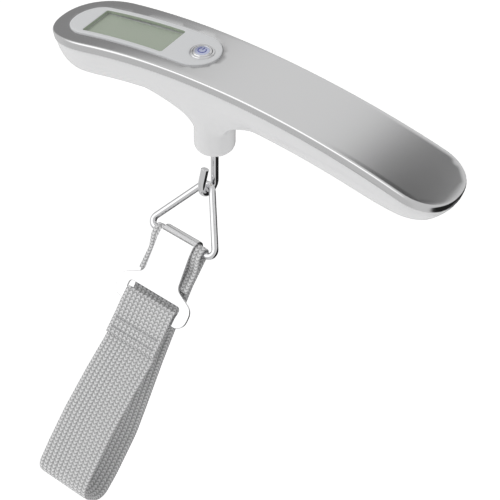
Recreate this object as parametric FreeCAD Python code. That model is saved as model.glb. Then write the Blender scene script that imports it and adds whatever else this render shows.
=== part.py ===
"""Digital luggage scale: an arched grip with a display, a load cell in its neck, a hook, a ring, a buckle, a strap.

Millimetres. The origin is the top of the grip on the neck's axis. +X runs along the grip towards its plain end,
-X towards the display, +Z is up, and the neck, hook and strap hang below. "s" is a distance along the arched top
from the neck's axis, and "drop" is a depth below that arched top, square to it.
"""
import FreeCAD
import Part
import math
import os

Vector = FreeCAD.Vector
X = Vector(1, 0, 0)
Y = Vector(0, 1, 0)
Z = Vector(0, 0, 1)

# --- driving dimensions -------------------------------------------------------------------------------------------
# grip
DISPLAY_REACH = 64.6          # neck axis to the display end, along the arch
PLAIN_REACH = 94.4            # neck axis to the plain end, along the arch
DISPLAY_ARCH = 238.0          # radius of the arch over the display
PLAIN_ARCH = 312.0            # radius of the arch over the plain end
NECK_HALF_WIDTH = 13.8        # half the grip's width over the neck
WIDTH_TAPER = 0.0150          # loss of half-width per mm towards the plain end
WIDTH_FLARE = 0.00020         # gain of half-width per mm squared, both ways
DISPLAY_ROUND = 22.0          # length of the rounded display end
PLAIN_ROUND = 15.0            # length of the rounded plain end
END_POWER = 2.2               # 2 is an ellipse, more is squarer

# cover: a shallow pan of steel sheet, turned down over the housing
COVER_SHEET = 0.8
COVER_RIM = 3.0
COVER_EDGE_ROUND = 0.8
SEAM_GAP = 0.12
COVER_GAP = 0.2               # cover's inner wall to the housing's lip

# housing: a deep moulded shell with the neck
HOUSING_SETBACK = 0.4         # housing's side inside the cover's side
HOUSING_DEPTH = 14.4
HOUSING_WALL = 1.5
HOUSING_BELLY = 2.3           # section power
DISPLAY_TUCK = 14.0           # length over which the display end's depth rounds off
PLAIN_TUCK = 39.0             # length over which the plain end's depth fades
PLAIN_TUCK_POWER = 3.5
PLAIN_FADE = 0.65             # share of the depth lost at the plain end
PLAIN_NOSE = 6.0              # length over which the plain end's depth rounds off
LIP_WALL = 0.7
LIP_RISE = 1.7
NECK_RADIUS = 7.0
NECK_END = 37.0               # neck's end below the origin
NECK_END_ROUND = 2.8
NECK_FLOOR = 4.5
NECK_BORE = 4.6
FLARE = (                     # height, and what the half-lengths in X and Y add to the neck's radius
    (-9.0, 31.0, 4.7), (-12.0, 25.3, 4.3), (-15.5, 17.5, 3.9), (-18.2, 10.0, 3.4), (-20.5, 5.8, 2.6),
    (-22.8, 3.2, 1.6), (-25.6, 1.2, 0.6), (-28.6, 0.2, 0.1), (-31.5, 0.0, 0.0),
)

# display bezel, window and liquid crystal panel
BEZEL_LENGTH = 59.5
BEZEL_HALF_WIDTH = 8.8
BEZEL_START = 6.35            # from the display end
BEZEL_RISE = 0.35
BEZEL_THICK = 1.6
BEZEL_FLANGE = 1.3
FIT_GAP = 0.12
WINDOW_CENTRE = -33.05        # s
WINDOW = (33.0, 13.9)
WINDOW_CORNER = 1.4
LENS_SINK = 0.9
LENS_THICK = 0.7
LENS_LAP = 0.8
TAPE_THICK = 0.15
PANEL = (37.5, 17.0, 1.7)
HOLDER_WALL = 1.4
ZEBRA = (32.0, 1.8)
BOARD = (55.0, 18.4, 1.0)
BOARD_SINK = 5.9
BOARD_SHIFT = 6.5             # board's middle towards the neck from the window's middle

# button
BUTTON_S = -5.0
BUTTON_RADIUS = 3.3
BUTTON_GAP = 0.1
BUTTON_RISE = 0.55
BUTTON_FLANGE = 0.5
BUTTON_TRAVEL = 0.5
COLLAR_RADIUS = 4.2
COLLAR_RISE = 0.3
SWITCH = (6.0, 6.0, 1.1)
PLUNGER_RADIUS = 1.6

# load cell, its screws and the hook's bearing
CELL = (44.0, 11.0, 5.6)
CELL_TOP = -8.5
CELL_LOAD_END = 6.0           # cell's end beyond the neck's axis
CELL_EYE = 2.0                # radius of each of the two linked holes
CELL_EYES = (11.0, 18.0)
CELL_SCREWS = (26.0, 34.0)
SCREW_RADIUS = 1.5
SCREW_HEAD = (2.8, 1.8)
SCREW_GAP = 0.15
BOSS_RADIUS = 3.6
GAUGE = (5.0, 3.4, 0.15)
WASHER = (3.4, 0.5)
NUT = (5.5, 2.4)
RIBBON = (2.4, 0.5)           # width and thickness
SHAFT_CLEARANCE = 0.07
BUSH_WALL = 1.65
BUSH_LIP = 1.6                # height of the bush's head

# battery and its door
CELL_BATTERY = (10.0, 3.2)    # coin cell's radius and height
BATTERY_FROM_END = 30.4       # battery's middle to the plain end
BATTERY_DROP = 5.6
BATTERY_GAP = 0.25
TRAY_ROOF = 1.1
TRAY_LENGTH = 26.0
TRAY_CLEAR = 0.25
DOOR = (26.0, 17.0)
DOOR_GAP = 0.25

# hook, ring, buckle and strap
HOOK_WIRE = 1.35              # radius
HOOK_BOWL = 3.25              # bowl radius at the wire's middle
HOOK_DROP = 13.9              # neck's end to the bowl's centre
HOOK_TIP_LEAN = 1.6           # the tip leans back over the bowl
HOOK_TIP_RISE = 7.6           # tip above the bowl's centre
HOOK_TURN = -6.0              # the hook's turn about the neck's axis, degrees
RING_WIRE = 1.2
RING_HEIGHT = 21.5
RING_SIDE = 4.65              # the ring's corner beyond the webbing's edge
RING_BEND = 3.0               # at the apex
RING_CORNER_BEND = 2.2        # at the bar's ends
RING_SEAT = 0.3               # the ring's wire sits below the bowl's centre
SWING = 41.3                  # ring, buckle and strap swung forward from plumb, degrees
WEBBING = 1.0
WEBBING_WIDTH = 22.0
LAYER_GAP = 0.15
BAR_GAP = 0.1
PLATE = 0.8
PLATE_WIDTH = 15.6
PLATE_GAP = 0.1
PLATE_CREASE = 2.6            # below the ring's bar
PLATE_FLAT = 18.8
PLATE_SHOULDER = 4.6          # where the plate widens, above the slot
SLOT_TOP = 20.1
SLOT_HEIGHT = 3.4
SLOT_SIDE = 0.5               # the slot's end beyond the webbing's edge
SLOT_CORNER = 1.2
FOLD_GAP = 0.4                # the webbing's fold to the slot's lower bar
EAR = 4.5                     # plate beside the slot
EAR_BAR = 3.6                 # plate below the slot
STRAP_END = 94.6              # the strap's bottom fold below the ring's bar
STRAP_FRONT = -3.2            # how far the front run bows forward
STRAP_BACK = 11.2             # how far the back run bows back
STRAP_FOLD = 4.6              # bend radius at the strap's bottom
SEWN_BACK = 0.4               # the sewn run's middle behind the plate's
SEWN_FROM = 32.4
SEWN_TO = 39.9
STITCH = (1.9, 0.45, 0.25)
STITCHES = 8
STITCH_EDGE = 1.0             # clear webbing beside a row
STITCH_ROWS = (33.8, 37.4)
LOOP_STITCH_ROW = 9.6

TIP_CUT = 0.35                # the housing's lofts stop this short of each tip

# --- derived dimensions -------------------------------------------------------------------------------------------
CAVITY_TOP = COVER_RIM - 0.5
LENS = (WINDOW[0] + 2 * LENS_LAP, WINDOW[1] + 2 * LENS_LAP)
LENS_TOP = -LENS_SINK
PANEL_TOP = LENS_TOP - LENS_THICK - TAPE_THICK
HOLDER_TOP = -BEZEL_THICK - 0.9
CELL_BOTTOM = CELL_TOP - CELL[2]
SHAFT_BORE = HOOK_WIRE + SHAFT_CLEARANCE
BUSH_RADIUS = HOOK_WIRE + BUSH_WALL
BATTERY_S = PLAIN_REACH - BATTERY_FROM_END
BATTERY_TOP = -BATTERY_DROP
APEX = Vector(0, -HOOK_BOWL, -NECK_END - HOOK_DROP - RING_SEAT)
RING_HALF_WIDTH = WEBBING_WIDTH / 2 + RING_SIDE
LOOP_LINE = RING_WIRE + BAR_GAP + WEBBING / 2             # webbing's middle from the bar's axis
ROLL_LINE = LOOP_LINE + WEBBING / 2 + PLATE_GAP + PLATE / 2
WRAP = PLATE / 2 + PLATE_GAP + WEBBING / 2                # webbing's middle from the plate's middle
LAYER = WEBBING + LAYER_GAP
SLOT = (WEBBING_WIDTH + 2 * SLOT_SIDE, SLOT_HEIGHT)
EAR_HALF_WIDTH = SLOT[0] / 2 + EAR
BAR_TOP = SLOT_TOP + SLOT_HEIGHT
PLATE_END = BAR_TOP + EAR_BAR


# --- the arch -----------------------------------------------------------------------------------------------------
def arch(s):
    """Radius of the arched top at s."""
    return DISPLAY_ARCH if s < 0 else PLAIN_ARCH


def on_arch(s, y=0.0, drop=0.0):
    """Point at s along the arch, y across and drop below its top."""
    radius = arch(s)
    turn = s / radius
    return Vector((radius - drop) * math.sin(turn), y, (radius - drop) * math.cos(turn) - radius)


def seat(shape, s):
    """Moves a shape made about the origin to s on the arch, with its top square to it."""
    placed = shape.copy()
    placed.rotate(Vector(), Y, math.degrees(s / arch(s)))
    placed.translate(on_arch(s))
    return placed


def line(a, b):
    return Part.LineSegment(a, b).toShape()


def arch_edge(s_from, s_to, y, drop):
    middle = (s_from + s_to) / 2
    return Part.Arc(on_arch(s_from, y, drop), on_arch(middle, y, drop), on_arch(s_to, y, drop)).toShape()


def arch_slab(top, bottom, reach=110.0, half=30.0):
    """Everything between two drops below the arch."""
    left, right = -reach, reach
    edges = [
        arch_edge(left, -1e-9, -half, top), arch_edge(0, right, -half, top),
        line(on_arch(right, -half, top), on_arch(right, -half, bottom)),
        arch_edge(right, 0, -half, bottom), arch_edge(-1e-9, left, -half, bottom),
        line(on_arch(left, -half, bottom), on_arch(left, -half, top)),
    ]
    return Part.Face(Part.Wire(Part.__sortEdges__(edges))).extrude(Y * 2 * half)


def end_share(along, length, power):
    """Width or depth at a distance from a rounded end, as a share of the full one."""
    if along >= length:
        return 1.0
    return (1 - max(0.0, (length - along) / length) ** power) ** (1 / power)


def half_width(s):
    """Half the grip's full width at s, before its ends are rounded."""
    return NECK_HALF_WIDTH - WIDTH_TAPER * s + WIDTH_FLARE * s * s


def oval(start, end, width, start_round, end_round, power):
    """Outline points (s, y) of a long shape with rounded ends: width(s) is its half-width."""
    steps = 7
    ease = [1 - math.cos(math.pi / 2 * k / steps) for k in range(steps)]
    run = [start + start_round * e for e in ease]
    first, last = start + start_round, end - end_round
    run += [first + (last - first) * k / 6 for k in range(7)]
    run += [end - end_round * e for e in reversed(ease)]
    half = [
        width(s) * end_share(s - start, start_round, power) * end_share(end - s, end_round, power) for s in run
    ]
    near = [(s, -h) for s, h in zip(run, half)]
    far = [(s, h) for s, h in zip(run, half)]
    return near + far[-2:0:-1]


def grip_outline(inset):
    """The grip's outline, moved in by inset all round."""
    return oval(
        -DISPLAY_REACH + inset, PLAIN_REACH - inset, lambda s: half_width(s) - inset,
        DISPLAY_ROUND - inset, PLAIN_ROUND - inset, END_POWER,
    )


def pill_outline(grow):
    """The bezel's outline, grown all round."""
    half = BEZEL_HALF_WIDTH + grow
    start = BEZEL_START - DISPLAY_REACH - grow
    return oval(start, start + BEZEL_LENGTH + 2 * grow, lambda s: half, half, half, 2.0)


def standing(outline, low=-32.0, high=8.0):
    """A tall solid with that outline, whose sides stand square to the arch."""
    wires = []
    for level in (low, high):
        points = [Vector((arch(s) + level) * math.tan(s / arch(s)), y, level) for s, y in outline]
        curve = Part.BSplineCurve()
        curve.interpolate(Points=points, PeriodicFlag=True)
        wires.append(Part.Wire(curve.toShape()))
    return Part.makeLoft(wires, True, True)


def block(length, width, height, top=0.0, corner=0.0):
    """Box centred on Z with its top at a height, its upright corners rounded."""
    box = Part.makeBox(length, width, height, Vector(-length / 2, -width / 2, top - height))
    if corner:
        upright = [e for e in box.Edges if abs(e.tangentAt(e.FirstParameter).z) > 0.9]
        box = box.makeFillet(corner, upright)
    return box


def rod(radius, top, bottom, x=0.0, y=0.0):
    return Part.makeCylinder(radius, top - bottom, Vector(x, y, bottom))


def one(shape):
    """The single solid in a boolean's result."""
    solids = shape.removeSplitter().Solids
    if len(solids) != 1:
        raise ValueError(f"expected one solid, got {len(solids)}")
    return solids[0]


# --- bent strips and wires ----------------------------------------------------------------------------------------
def bent_run(points, radii):
    """Straight runs joined by tangent arcs, as (start, middle, end, centre) with no middle for a straight run."""
    pieces = []
    start = points[0]
    for before, corner, after, radius in zip(points, points[1:], points[2:], radii):
        back = (before - corner).normalize()
        onward = (after - corner).normalize()
        half = back.getAngle(onward) / 2
        inward = (back + onward).normalize()
        centre = corner + inward * (radius / math.sin(half))
        first = corner + back * (radius / math.tan(half))
        last = corner + onward * (radius / math.tan(half))
        if (first - start).Length > 1e-6:
            pieces.append((start, None, first, None))
        pieces.append((first, centre - inward * radius, last, centre))
        start = last
    if (points[-1] - start).Length > 1e-6:
        pieces.append((start, None, points[-1], None))
    return pieces


def bent_edges(points, radii):
    return [
        Part.Arc(start, middle, end).toShape() if middle else line(start, end)
        for start, middle, end, _ in bent_run(points, radii)
    ]


def beside(pieces, normal, offset):
    """The edges of a bent run moved sideways by offset."""
    edges = []
    at = None
    for start, middle, end, centre in pieces:
        if middle is None:
            across = (end - start).normalize().cross(normal) * offset
            a, b = start + across, end + across
            edges.append(line(a, b))
        else:
            a = at if at else start
            grown = (a - centre).Length / (start - centre).Length
            b = centre + (end - centre) * grown
            edges.append(Part.Arc(centre + (start - centre) * grown, centre + (middle - centre) * grown, b).toShape())
        at = b
    return edges


def strip(points, radii, thickness, width):
    """A strip of even thickness along a centre line in the YZ plane, as wide as width along X."""
    pieces = bent_run(points, radii)
    sides = [beside(pieces, X, side * thickness / 2) for side in (1, -1)]
    caps = [line(sides[0][k].Vertexes[j].Point, sides[1][k].Vertexes[j].Point) for k, j in ((0, 0), (-1, -1))]
    face = Part.Face(Part.Wire(Part.__sortEdges__(sides[0] + sides[1] + caps)))
    solid = face.extrude(X * width)
    solid.translate(X * (-width / 2))
    return solid


def wire_rod(edges, radius, closed=False):
    """A round rod swept along edges."""
    path = Part.Wire(edges)
    first = edges[0]
    start = first.valueAt(first.FirstParameter)
    profile = Part.Wire(Part.Circle(start, first.tangentAt(first.FirstParameter), radius).toShape())
    swept = path.makePipeShell([profile], True, closed)
    return swept if swept.ShapeType == "Solid" else Part.Solid(Part.Shell(swept.Faces))


# --- grip: cover and housing --------------------------------------------------------------------------------------
def top_cover():
    outer = one(standing(grip_outline(0)).common(arch_slab(0, COVER_RIM)))
    rim = []
    for edge in outer.Edges:
        point = edge.valueAt((edge.FirstParameter + edge.LastParameter) / 2)
        drop = arch(point.x) - math.hypot(point.x, point.z + arch(point.x))
        if abs(drop) < 0.01 and abs(point.x) > 0.01:
            rim.append(edge)
    outer = outer.makeFillet(COVER_EDGE_ROUND, rim)
    inner = standing(grip_outline(COVER_SHEET)).common(arch_slab(COVER_SHEET, COVER_RIM + 1))
    return one(outer.cut(inner).cut(standing(pill_outline(FIT_GAP))))


def housing_depth(s, inset):
    """Depth of the housing below its seam at s."""
    full = HOUSING_DEPTH - inset
    display = end_share(s + DISPLAY_REACH - inset, DISPLAY_TUCK, 2.0)
    from_end = max(0.0, PLAIN_REACH - inset - s)
    fade = max(0.0, 1 - from_end / PLAIN_TUCK)
    plain = (1 - PLAIN_FADE * fade ** PLAIN_TUCK_POWER) * end_share(from_end, PLAIN_NOSE, 2.0)
    return full * display * plain


def hull(inset, seam):
    """The housing's outer form, moved in by inset, below a seam at that drop."""
    setback = HOUSING_SETBACK + inset
    start, end = -DISPLAY_REACH + setback, PLAIN_REACH - setback
    stations = [start + d for d in (TIP_CUT, 1.4, 3.4, 6.6, 11.0, 17.0, DISPLAY_ROUND)]
    stations += [s * 12.0 for s in range(-2, 5)]
    stations += [end - d for d in (34.0, 26.0, 19.0, 13.0, 8.0, 4.4, 2.0, TIP_CUT)]
    sections = []
    for s in stations:
        half = (half_width(s) - setback) * end_share(s - start, DISPLAY_ROUND - setback, END_POWER)
        half *= end_share(end - s, PLAIN_ROUND - setback, END_POWER)
        depth = max(0.8, housing_depth(s, inset))
        points = []
        for k in range(13):
            turn = math.pi * k / 12
            across = math.copysign(abs(math.cos(turn)) ** (2 / HOUSING_BELLY), math.cos(turn)) * half
            down = abs(math.sin(turn)) ** (2 / HOUSING_BELLY) * depth
            points.append(on_arch(s, across, seam + down))
        belly = Part.BSplineCurve()
        belly.interpolate(Points=points)
        sections.append(Part.Wire([belly.toShape(), line(points[-1], points[0])]))
    return Part.makeLoft(sections, True, False)


def flare():
    """The neck's flare, from inside the housing down to its straight end."""
    wires = []
    for height, along, across in FLARE:
        corners = Vector(NECK_RADIUS + along, 0, height), Vector(0, NECK_RADIUS + across, height)
        ring = Part.Ellipse(*corners, Vector(0, 0, height))
        wires.append(Part.Wire(ring.toShape()))
    straight = rod(NECK_RADIUS, FLARE[-1][0], -NECK_END)
    end = [e for e in straight.Edges if abs(e.CenterOfMass.z + NECK_END) < 0.01 and e.Closed]
    return Part.makeLoft(wires, True, False).fuse(straight.makeFillet(NECK_END_ROUND, end))


def door_prism(gap):
    """The stretch of the housing's floor that the battery door fills, grown by gap."""
    return seat(block(DOOR[0] + 2 * gap, DOOR[1] + 2 * gap, 30, top=-BATTERY_DROP), BATTERY_S)


def lower_housing(outer, cavity):
    body = outer.fuse(flare()).cut(cavity)
    body = body.cut(rod(NECK_BORE, -HOUSING_DEPTH, NECK_FLOOR - NECK_END))
    body = body.cut(rod(BUSH_RADIUS + 0.02, 0, -NECK_END - 1))
    lip = standing(grip_outline(COVER_SHEET + COVER_GAP))
    lip = lip.cut(standing(grip_outline(COVER_SHEET + COVER_GAP + LIP_WALL)))
    lip = lip.common(arch_slab(COVER_RIM - LIP_RISE, COVER_RIM + 1.2))
    body = body.fuse(lip)
    for x in CELL_SCREWS:
        boss = rod(BOSS_RADIUS, CELL_BOTTOM, -HOUSING_DEPTH - 6, x).common(outer)
        body = body.fuse(boss).cut(rod(SCREW_RADIUS, CELL_BOTTOM + 1, CELL_BOTTOM - 4, x))
    return one(body.cut(door_prism(DOOR_GAP)))


def battery_door(outer, cavity):
    shell = outer.cut(cavity)
    door = one(shell.common(door_prism(0)))
    first = BATTERY_S - DOOR[0] / 2 + 3
    grooves = [seat(block(0.8, 9.0, 40, top=-BATTERY_DROP), first + 1.8 * k) for k in range(4)]
    skin = hull(0.5, COVER_RIM)
    for groove in grooves:
        door = door.cut(groove.cut(skin))
    return one(door)


# --- display ------------------------------------------------------------------------------------------------------
def display_bezel():
    body = standing(pill_outline(0)).common(arch_slab(-BEZEL_RISE, BEZEL_THICK))
    flange = standing(pill_outline(BEZEL_FLANGE)).common(arch_slab(COVER_SHEET + 0.03, BEZEL_THICK))
    body = body.fuse(flange)
    body = body.cut(seat(block(*WINDOW, 20, top=10, corner=WINDOW_CORNER), WINDOW_CENTRE))
    pocket = block(LENS[0] + 2 * FIT_GAP, LENS[1] + 2 * FIT_GAP, 10, top=LENS_TOP + 0.02)
    body = body.cut(seat(pocket, WINDOW_CENTRE))
    nest = block(PANEL[0] + 2 * FIT_GAP, PANEL[1] + 2 * FIT_GAP, 10, top=PANEL_TOP + 0.02)
    body = body.cut(seat(nest, WINDOW_CENTRE))
    return one(body.cut(seat(rod(COLLAR_RADIUS, 5, -5), BUTTON_S)))


def lcd_window():
    return seat(block(*LENS, LENS_THICK, top=LENS_TOP), WINDOW_CENTRE)


def window_tape():
    frame = block(*LENS, TAPE_THICK, top=LENS_TOP - LENS_THICK)
    return seat(frame.cut(block(*WINDOW, 4, top=0)), WINDOW_CENTRE)


def lcd_panel():
    return seat(block(*PANEL, top=PANEL_TOP), WINDOW_CENTRE)


def display_holder():
    inside = (PANEL[0] + 2 * FIT_GAP, PANEL[1] + 2 * FIT_GAP)
    outside = (inside[0] + 2 * HOLDER_WALL, inside[1] + 2 * HOLDER_WALL)
    frame = block(*outside, BOARD_SINK + HOLDER_TOP, top=HOLDER_TOP)
    return seat(frame.cut(block(*inside, 20, top=5)), WINDOW_CENTRE)


def zebra_strips():
    top = PANEL_TOP - PANEL[2]
    away = PANEL[1] / 2 - ZEBRA[1] / 2
    strip_at_middle = block(*ZEBRA, BOARD_SINK + top, top=top)
    return Part.makeCompound([seat(strip_at_middle.translated(Y * side * away), WINDOW_CENTRE) for side in (1, -1)])


def circuit_board():
    board = block(*BOARD, top=-BOARD_SINK, corner=1.0).translated(X * BOARD_SHIFT)
    return seat(board, WINDOW_CENTRE)


def controller_chip():
    dome = Part.makeSphere(7.0, Vector(-14, 0, -BOARD_SINK - BOARD[2] + 5.4)).common(
        block(30, 12, 6, top=-BOARD_SINK - BOARD[2]).translated(X * -14)
    )
    return seat(one(dome), WINDOW_CENTRE)


def board_parts():
    """Small chips, a crystal and capacitors under the board: length, width, height and place."""
    parts = []
    for length, width, height, x, y in ((6.2, 5.0, 1.6, 0, 3), (3.2, 1.6, 1.1, 2, -4), (3.2, 1.6, 1.1, 7, -4),
                                        (2.0, 1.2, 0.8, 8, 1), (2.0, 1.2, 0.8, 8, 4), (8.0, 3.2, 2.4, -4, -7.2)):
        parts.append(seat(block(length, width, height, top=-BOARD_SINK - BOARD[2]).translated(Vector(x, y, 0)),
                          WINDOW_CENTRE))
    return Part.makeCompound(parts)


# --- button -------------------------------------------------------------------------------------------------------
def board_height(x):
    """Height of the board's upper face above the origin's level at x."""
    turn = WINDOW_CENTRE / arch(WINDOW_CENTRE)
    base = on_arch(WINDOW_CENTRE, 0, BOARD_SINK)
    return base.z - (x - base.x) * math.tan(turn)


def button_collar():
    top, bottom = BEZEL_RISE + COLLAR_RISE, -BEZEL_THICK
    ring = rod(COLLAR_RADIUS - 0.02, top, bottom)
    crest = [e for e in ring.Edges if abs(e.CenterOfMass.z - top) < 0.01 and e.Closed]
    ring = ring.makeFillet(0.25, crest)
    return seat(ring.cut(rod(BUTTON_RADIUS + BUTTON_GAP, 5, -5)), BUTTON_S)


def power_button():
    top = BEZEL_RISE + BUTTON_RISE
    foot = -BEZEL_THICK - 0.1
    cap = rod(BUTTON_RADIUS, top, foot)
    crest = [e for e in cap.Edges if abs(e.CenterOfMass.z - top) < 0.01 and e.Closed]
    cap = cap.makeFillet(0.4, crest).fuse(rod(BUTTON_RADIUS + 0.8, foot, foot - BUTTON_FLANGE))
    return seat(one(cap), BUTTON_S)


def switch_frame(shape):
    """Puts a shape made about the origin on the board's upper face below the button."""
    placed = shape.copy()
    placed.rotate(Vector(), Y, math.degrees(WINDOW_CENTRE / arch(WINDOW_CENTRE)))
    at = on_arch(BUTTON_S)
    placed.translate(Vector(at.x, 0, board_height(at.x)))
    return placed


def tact_switch():
    body = block(*SWITCH, top=SWITCH[2], corner=0.6).cut(rod(PLUNGER_RADIUS + 0.25, 3, 0.2))
    return switch_frame(one(body))


def switch_plunger():
    """Stands on the board's switch and meets the button's flange."""
    foot = -BEZEL_THICK - 0.1 - BUTTON_FLANGE
    bottom = board_height(on_arch(BUTTON_S).x) + 0.2 + 0.35 + BUTTON_TRAVEL
    return seat(rod(PLUNGER_RADIUS, foot, bottom - on_arch(BUTTON_S).z), BUTTON_S)


# --- load cell ----------------------------------------------------------------------------------------------------
def load_cell():
    middle = CELL[0] / 2 - CELL_LOAD_END
    bar = block(*CELL, top=CELL_TOP, corner=1.0).translated(X * middle)
    height = CELL_TOP - CELL[2] / 2
    for x in CELL_EYES:
        bar = bar.cut(Part.makeCylinder(CELL_EYE, CELL[1] + 2, Vector(x, -CELL[1] / 2 - 1, height), Y))
    corner = Vector(CELL_EYES[0], -CELL[1] / 2 - 1, height - 0.5)
    slit = Part.makeBox(CELL_EYES[1] - CELL_EYES[0], CELL[1] + 2, 1.0, corner)
    bar = bar.cut(slit).cut(rod(HOOK_WIRE + 0.3, 0, -20))
    for x in CELL_SCREWS:
        bar = bar.cut(rod(SCREW_RADIUS + SCREW_GAP, 0, -20, x))
    return one(bar)


def strain_gauges():
    pads = []
    for x in CELL_EYES:
        for top in (CELL_TOP + GAUGE[2], CELL_BOTTOM):
            pads.append(block(*GAUGE, top=top).translated(X * x))
    return Part.makeCompound(pads)


def cell_screws():
    screws = []
    for x in CELL_SCREWS:
        head = rod(SCREW_HEAD[0], CELL_TOP + SCREW_HEAD[1], CELL_TOP, x)
        shank = rod(SCREW_RADIUS, CELL_TOP, CELL_BOTTOM - 3.6, x)
        cross = block(3.2, 0.7, 0.9, top=CELL_TOP + SCREW_HEAD[1]).translated(X * x)
        screws.append(one(head.fuse(shank).cut(cross)))
    return Part.makeCompound(screws)


def sensor_ribbon():
    """Flat lead from the gauges to the board."""
    start = Vector(0, CELL_EYES[0] - 2.6, CELL_TOP + 0.45)
    x_end = -9.0
    end = Vector(0, x_end, board_height(x_end) - BOARD[2] - 0.45)
    middle = [Vector(0, 4.6, start.z + 0.2), Vector(0, -5.4, end.z - 0.2)]
    width, thickness = RIBBON
    lead = strip([start, *middle, end], (4.0, 4.0), thickness, width)
    lead.rotate(Vector(), Z, -90)
    return lead.translated(Y * (NUT[0] / 2 + width / 2 + 0.8))


# --- battery ------------------------------------------------------------------------------------------------------
def battery():
    radius, height = CELL_BATTERY
    cell = rod(radius, BATTERY_TOP, BATTERY_TOP - height)
    rims = [e for e in cell.Edges if e.Closed]
    return seat(cell.makeFillet(0.3, rims), BATTERY_S)


def battery_tray(cavity):
    radius, height = CELL_BATTERY
    roof = BATTERY_TOP + 0.5
    body = seat(block(TRAY_LENGTH, 40, TRAY_ROOF + 0.5 + height - 0.4, top=roof + TRAY_ROOF), BATTERY_S)
    room = hull(HOUSING_WALL + TRAY_CLEAR, CAVITY_TOP)
    well = seat(rod(radius + BATTERY_GAP, roof, roof - 10), BATTERY_S)
    slots = seat(block(3.4, 40, 10, top=roof), BATTERY_S)
    port = seat(block(2.2, 5.0, 20, top=10).translated(X * -(radius + 1.0)), BATTERY_S)
    return one(body.common(room).cut(well).cut(slots).cut(port))


def negative_contact():
    """Leaf spring between the tray's roof and the cell."""
    line_of_leaf = [Vector(0, y, BATTERY_TOP + rise) for y, rise in ((-7, 0.35), (-3, 0.35), (0, 0.15), (3, 0.35), (7, 0.35))]
    return seat(strip(line_of_leaf, (6.0, 6.0, 6.0), 0.2, 4.0), BATTERY_S)


def positive_contact():
    """Side clip against the cell's rim, through the tray."""
    radius, height = CELL_BATTERY
    rise = BATTERY_TOP + 2.2
    foot = BATTERY_TOP - height + 0.4
    clip = strip([Vector(0, 0, foot), Vector(0, 0, rise), Vector(0, 3.0, rise)], (0.6,), 0.3, 4.0)
    clip.rotate(Vector(), Z, 90)
    return seat(clip.translated(X * -(radius + 0.4)), BATTERY_S)


def battery_leads():
    """Two leads from the battery to the board, along both sides of the load cell."""
    leads = []
    for side in (1, -1):
        points = [Vector(BATTERY_S - 14.0, side * 8.4, -6.3), Vector(36.0, side * 8.9, -6.6), Vector(16.0, side * 8.9, -6.8),
                  Vector(2.0, side * 8.4, -6.6), Vector(-9.0, side * 7.6, board_height(-9.0) - BOARD[2] - 0.5)]
        leads.append(wire_rod(bent_edges(points, (40.0, 40.0, 30.0)), 0.45))
    return Part.makeCompound(leads)


# --- neck and hook ------------------------------------------------------------------------------------------------
def neck_bush():
    floor = NECK_FLOOR - NECK_END
    body = rod(BUSH_RADIUS, floor, -NECK_END + 0.3).fuse(rod(NECK_BORE - 0.1, floor + BUSH_LIP, floor))
    return one(body.cut(rod(SHAFT_BORE, 0, -NECK_END - 1)))


def hook_washer():
    return rod(WASHER[0], CELL_TOP + WASHER[1], CELL_TOP).cut(rod(SHAFT_BORE, 0, -20))


def hook_nut():
    across, height = NUT
    bottom = CELL_TOP + WASHER[1] + 0.05
    corner = across / 2 / math.cos(math.pi / 6)
    points = [Vector(corner * math.cos(math.pi / 3 * k), corner * math.sin(math.pi / 3 * k), bottom) for k in range(7)]
    nut = Part.Face(Part.makePolygon(points)).extrude(Z * height)
    return nut.cut(rod(HOOK_WIRE, 0, -20))


def hook():
    top = CELL_TOP + WASHER[1] + NUT[1] + 0.4
    centre = Vector(0, -HOOK_BOWL, -NECK_END - HOOK_DROP)
    stem_foot = Vector(0, 0, centre.z)
    bowl_front = centre - Y * HOOK_BOWL
    tip = centre + Vector(0, -HOOK_BOWL + HOOK_TIP_LEAN, HOOK_TIP_RISE)
    arm_bend = bowl_front + Z * 2.4
    edges = [
        line(Vector(0, 0, top), stem_foot),
        Part.Arc(stem_foot, centre - Z * HOOK_BOWL, bowl_front).toShape(),
        *bent_edges([bowl_front, arm_bend, tip], (7.0,)),
    ]
    return turned(wire_rod(edges, HOOK_WIRE))


def turned(shape):
    """Turns a shape about the neck's axis with the hook."""
    placed = shape.copy()
    placed.rotate(Vector(), Z, HOOK_TURN)
    return placed


def swung(shape):
    """Hangs a shape, made below the ring's apex at the origin, in the hook's bowl and swings it forward."""
    placed = shape.copy()
    placed.rotate(Vector(), X, -SWING)
    placed.translate(APEX)
    return turned(placed)


def below_bar(forward_back, down):
    """Point below the ring's bar: how far back of the ring's plane, and how far down."""
    return Vector(0, forward_back, -RING_HEIGHT - down)


def triangle_ring():
    lift = 0.0
    for _ in range(20):    # the sharp apex stands above the bent wire's own top
        half = math.atan2(RING_HALF_WIDTH, RING_HEIGHT + lift)
        lift = RING_BEND * (1 / math.sin(half) - 1)
    top = Vector(0, 0, lift)
    left = Vector(-RING_HALF_WIDTH, 0, -RING_HEIGHT)
    right = Vector(RING_HALF_WIDTH, 0, -RING_HEIGHT)
    middle = Vector(0, 0, -RING_HEIGHT)
    bends = (RING_CORNER_BEND, RING_BEND, RING_CORNER_BEND)
    edges = bent_edges([middle, left, top, right, middle], bends)
    return swung(wire_rod(edges, RING_WIRE, True))


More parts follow.
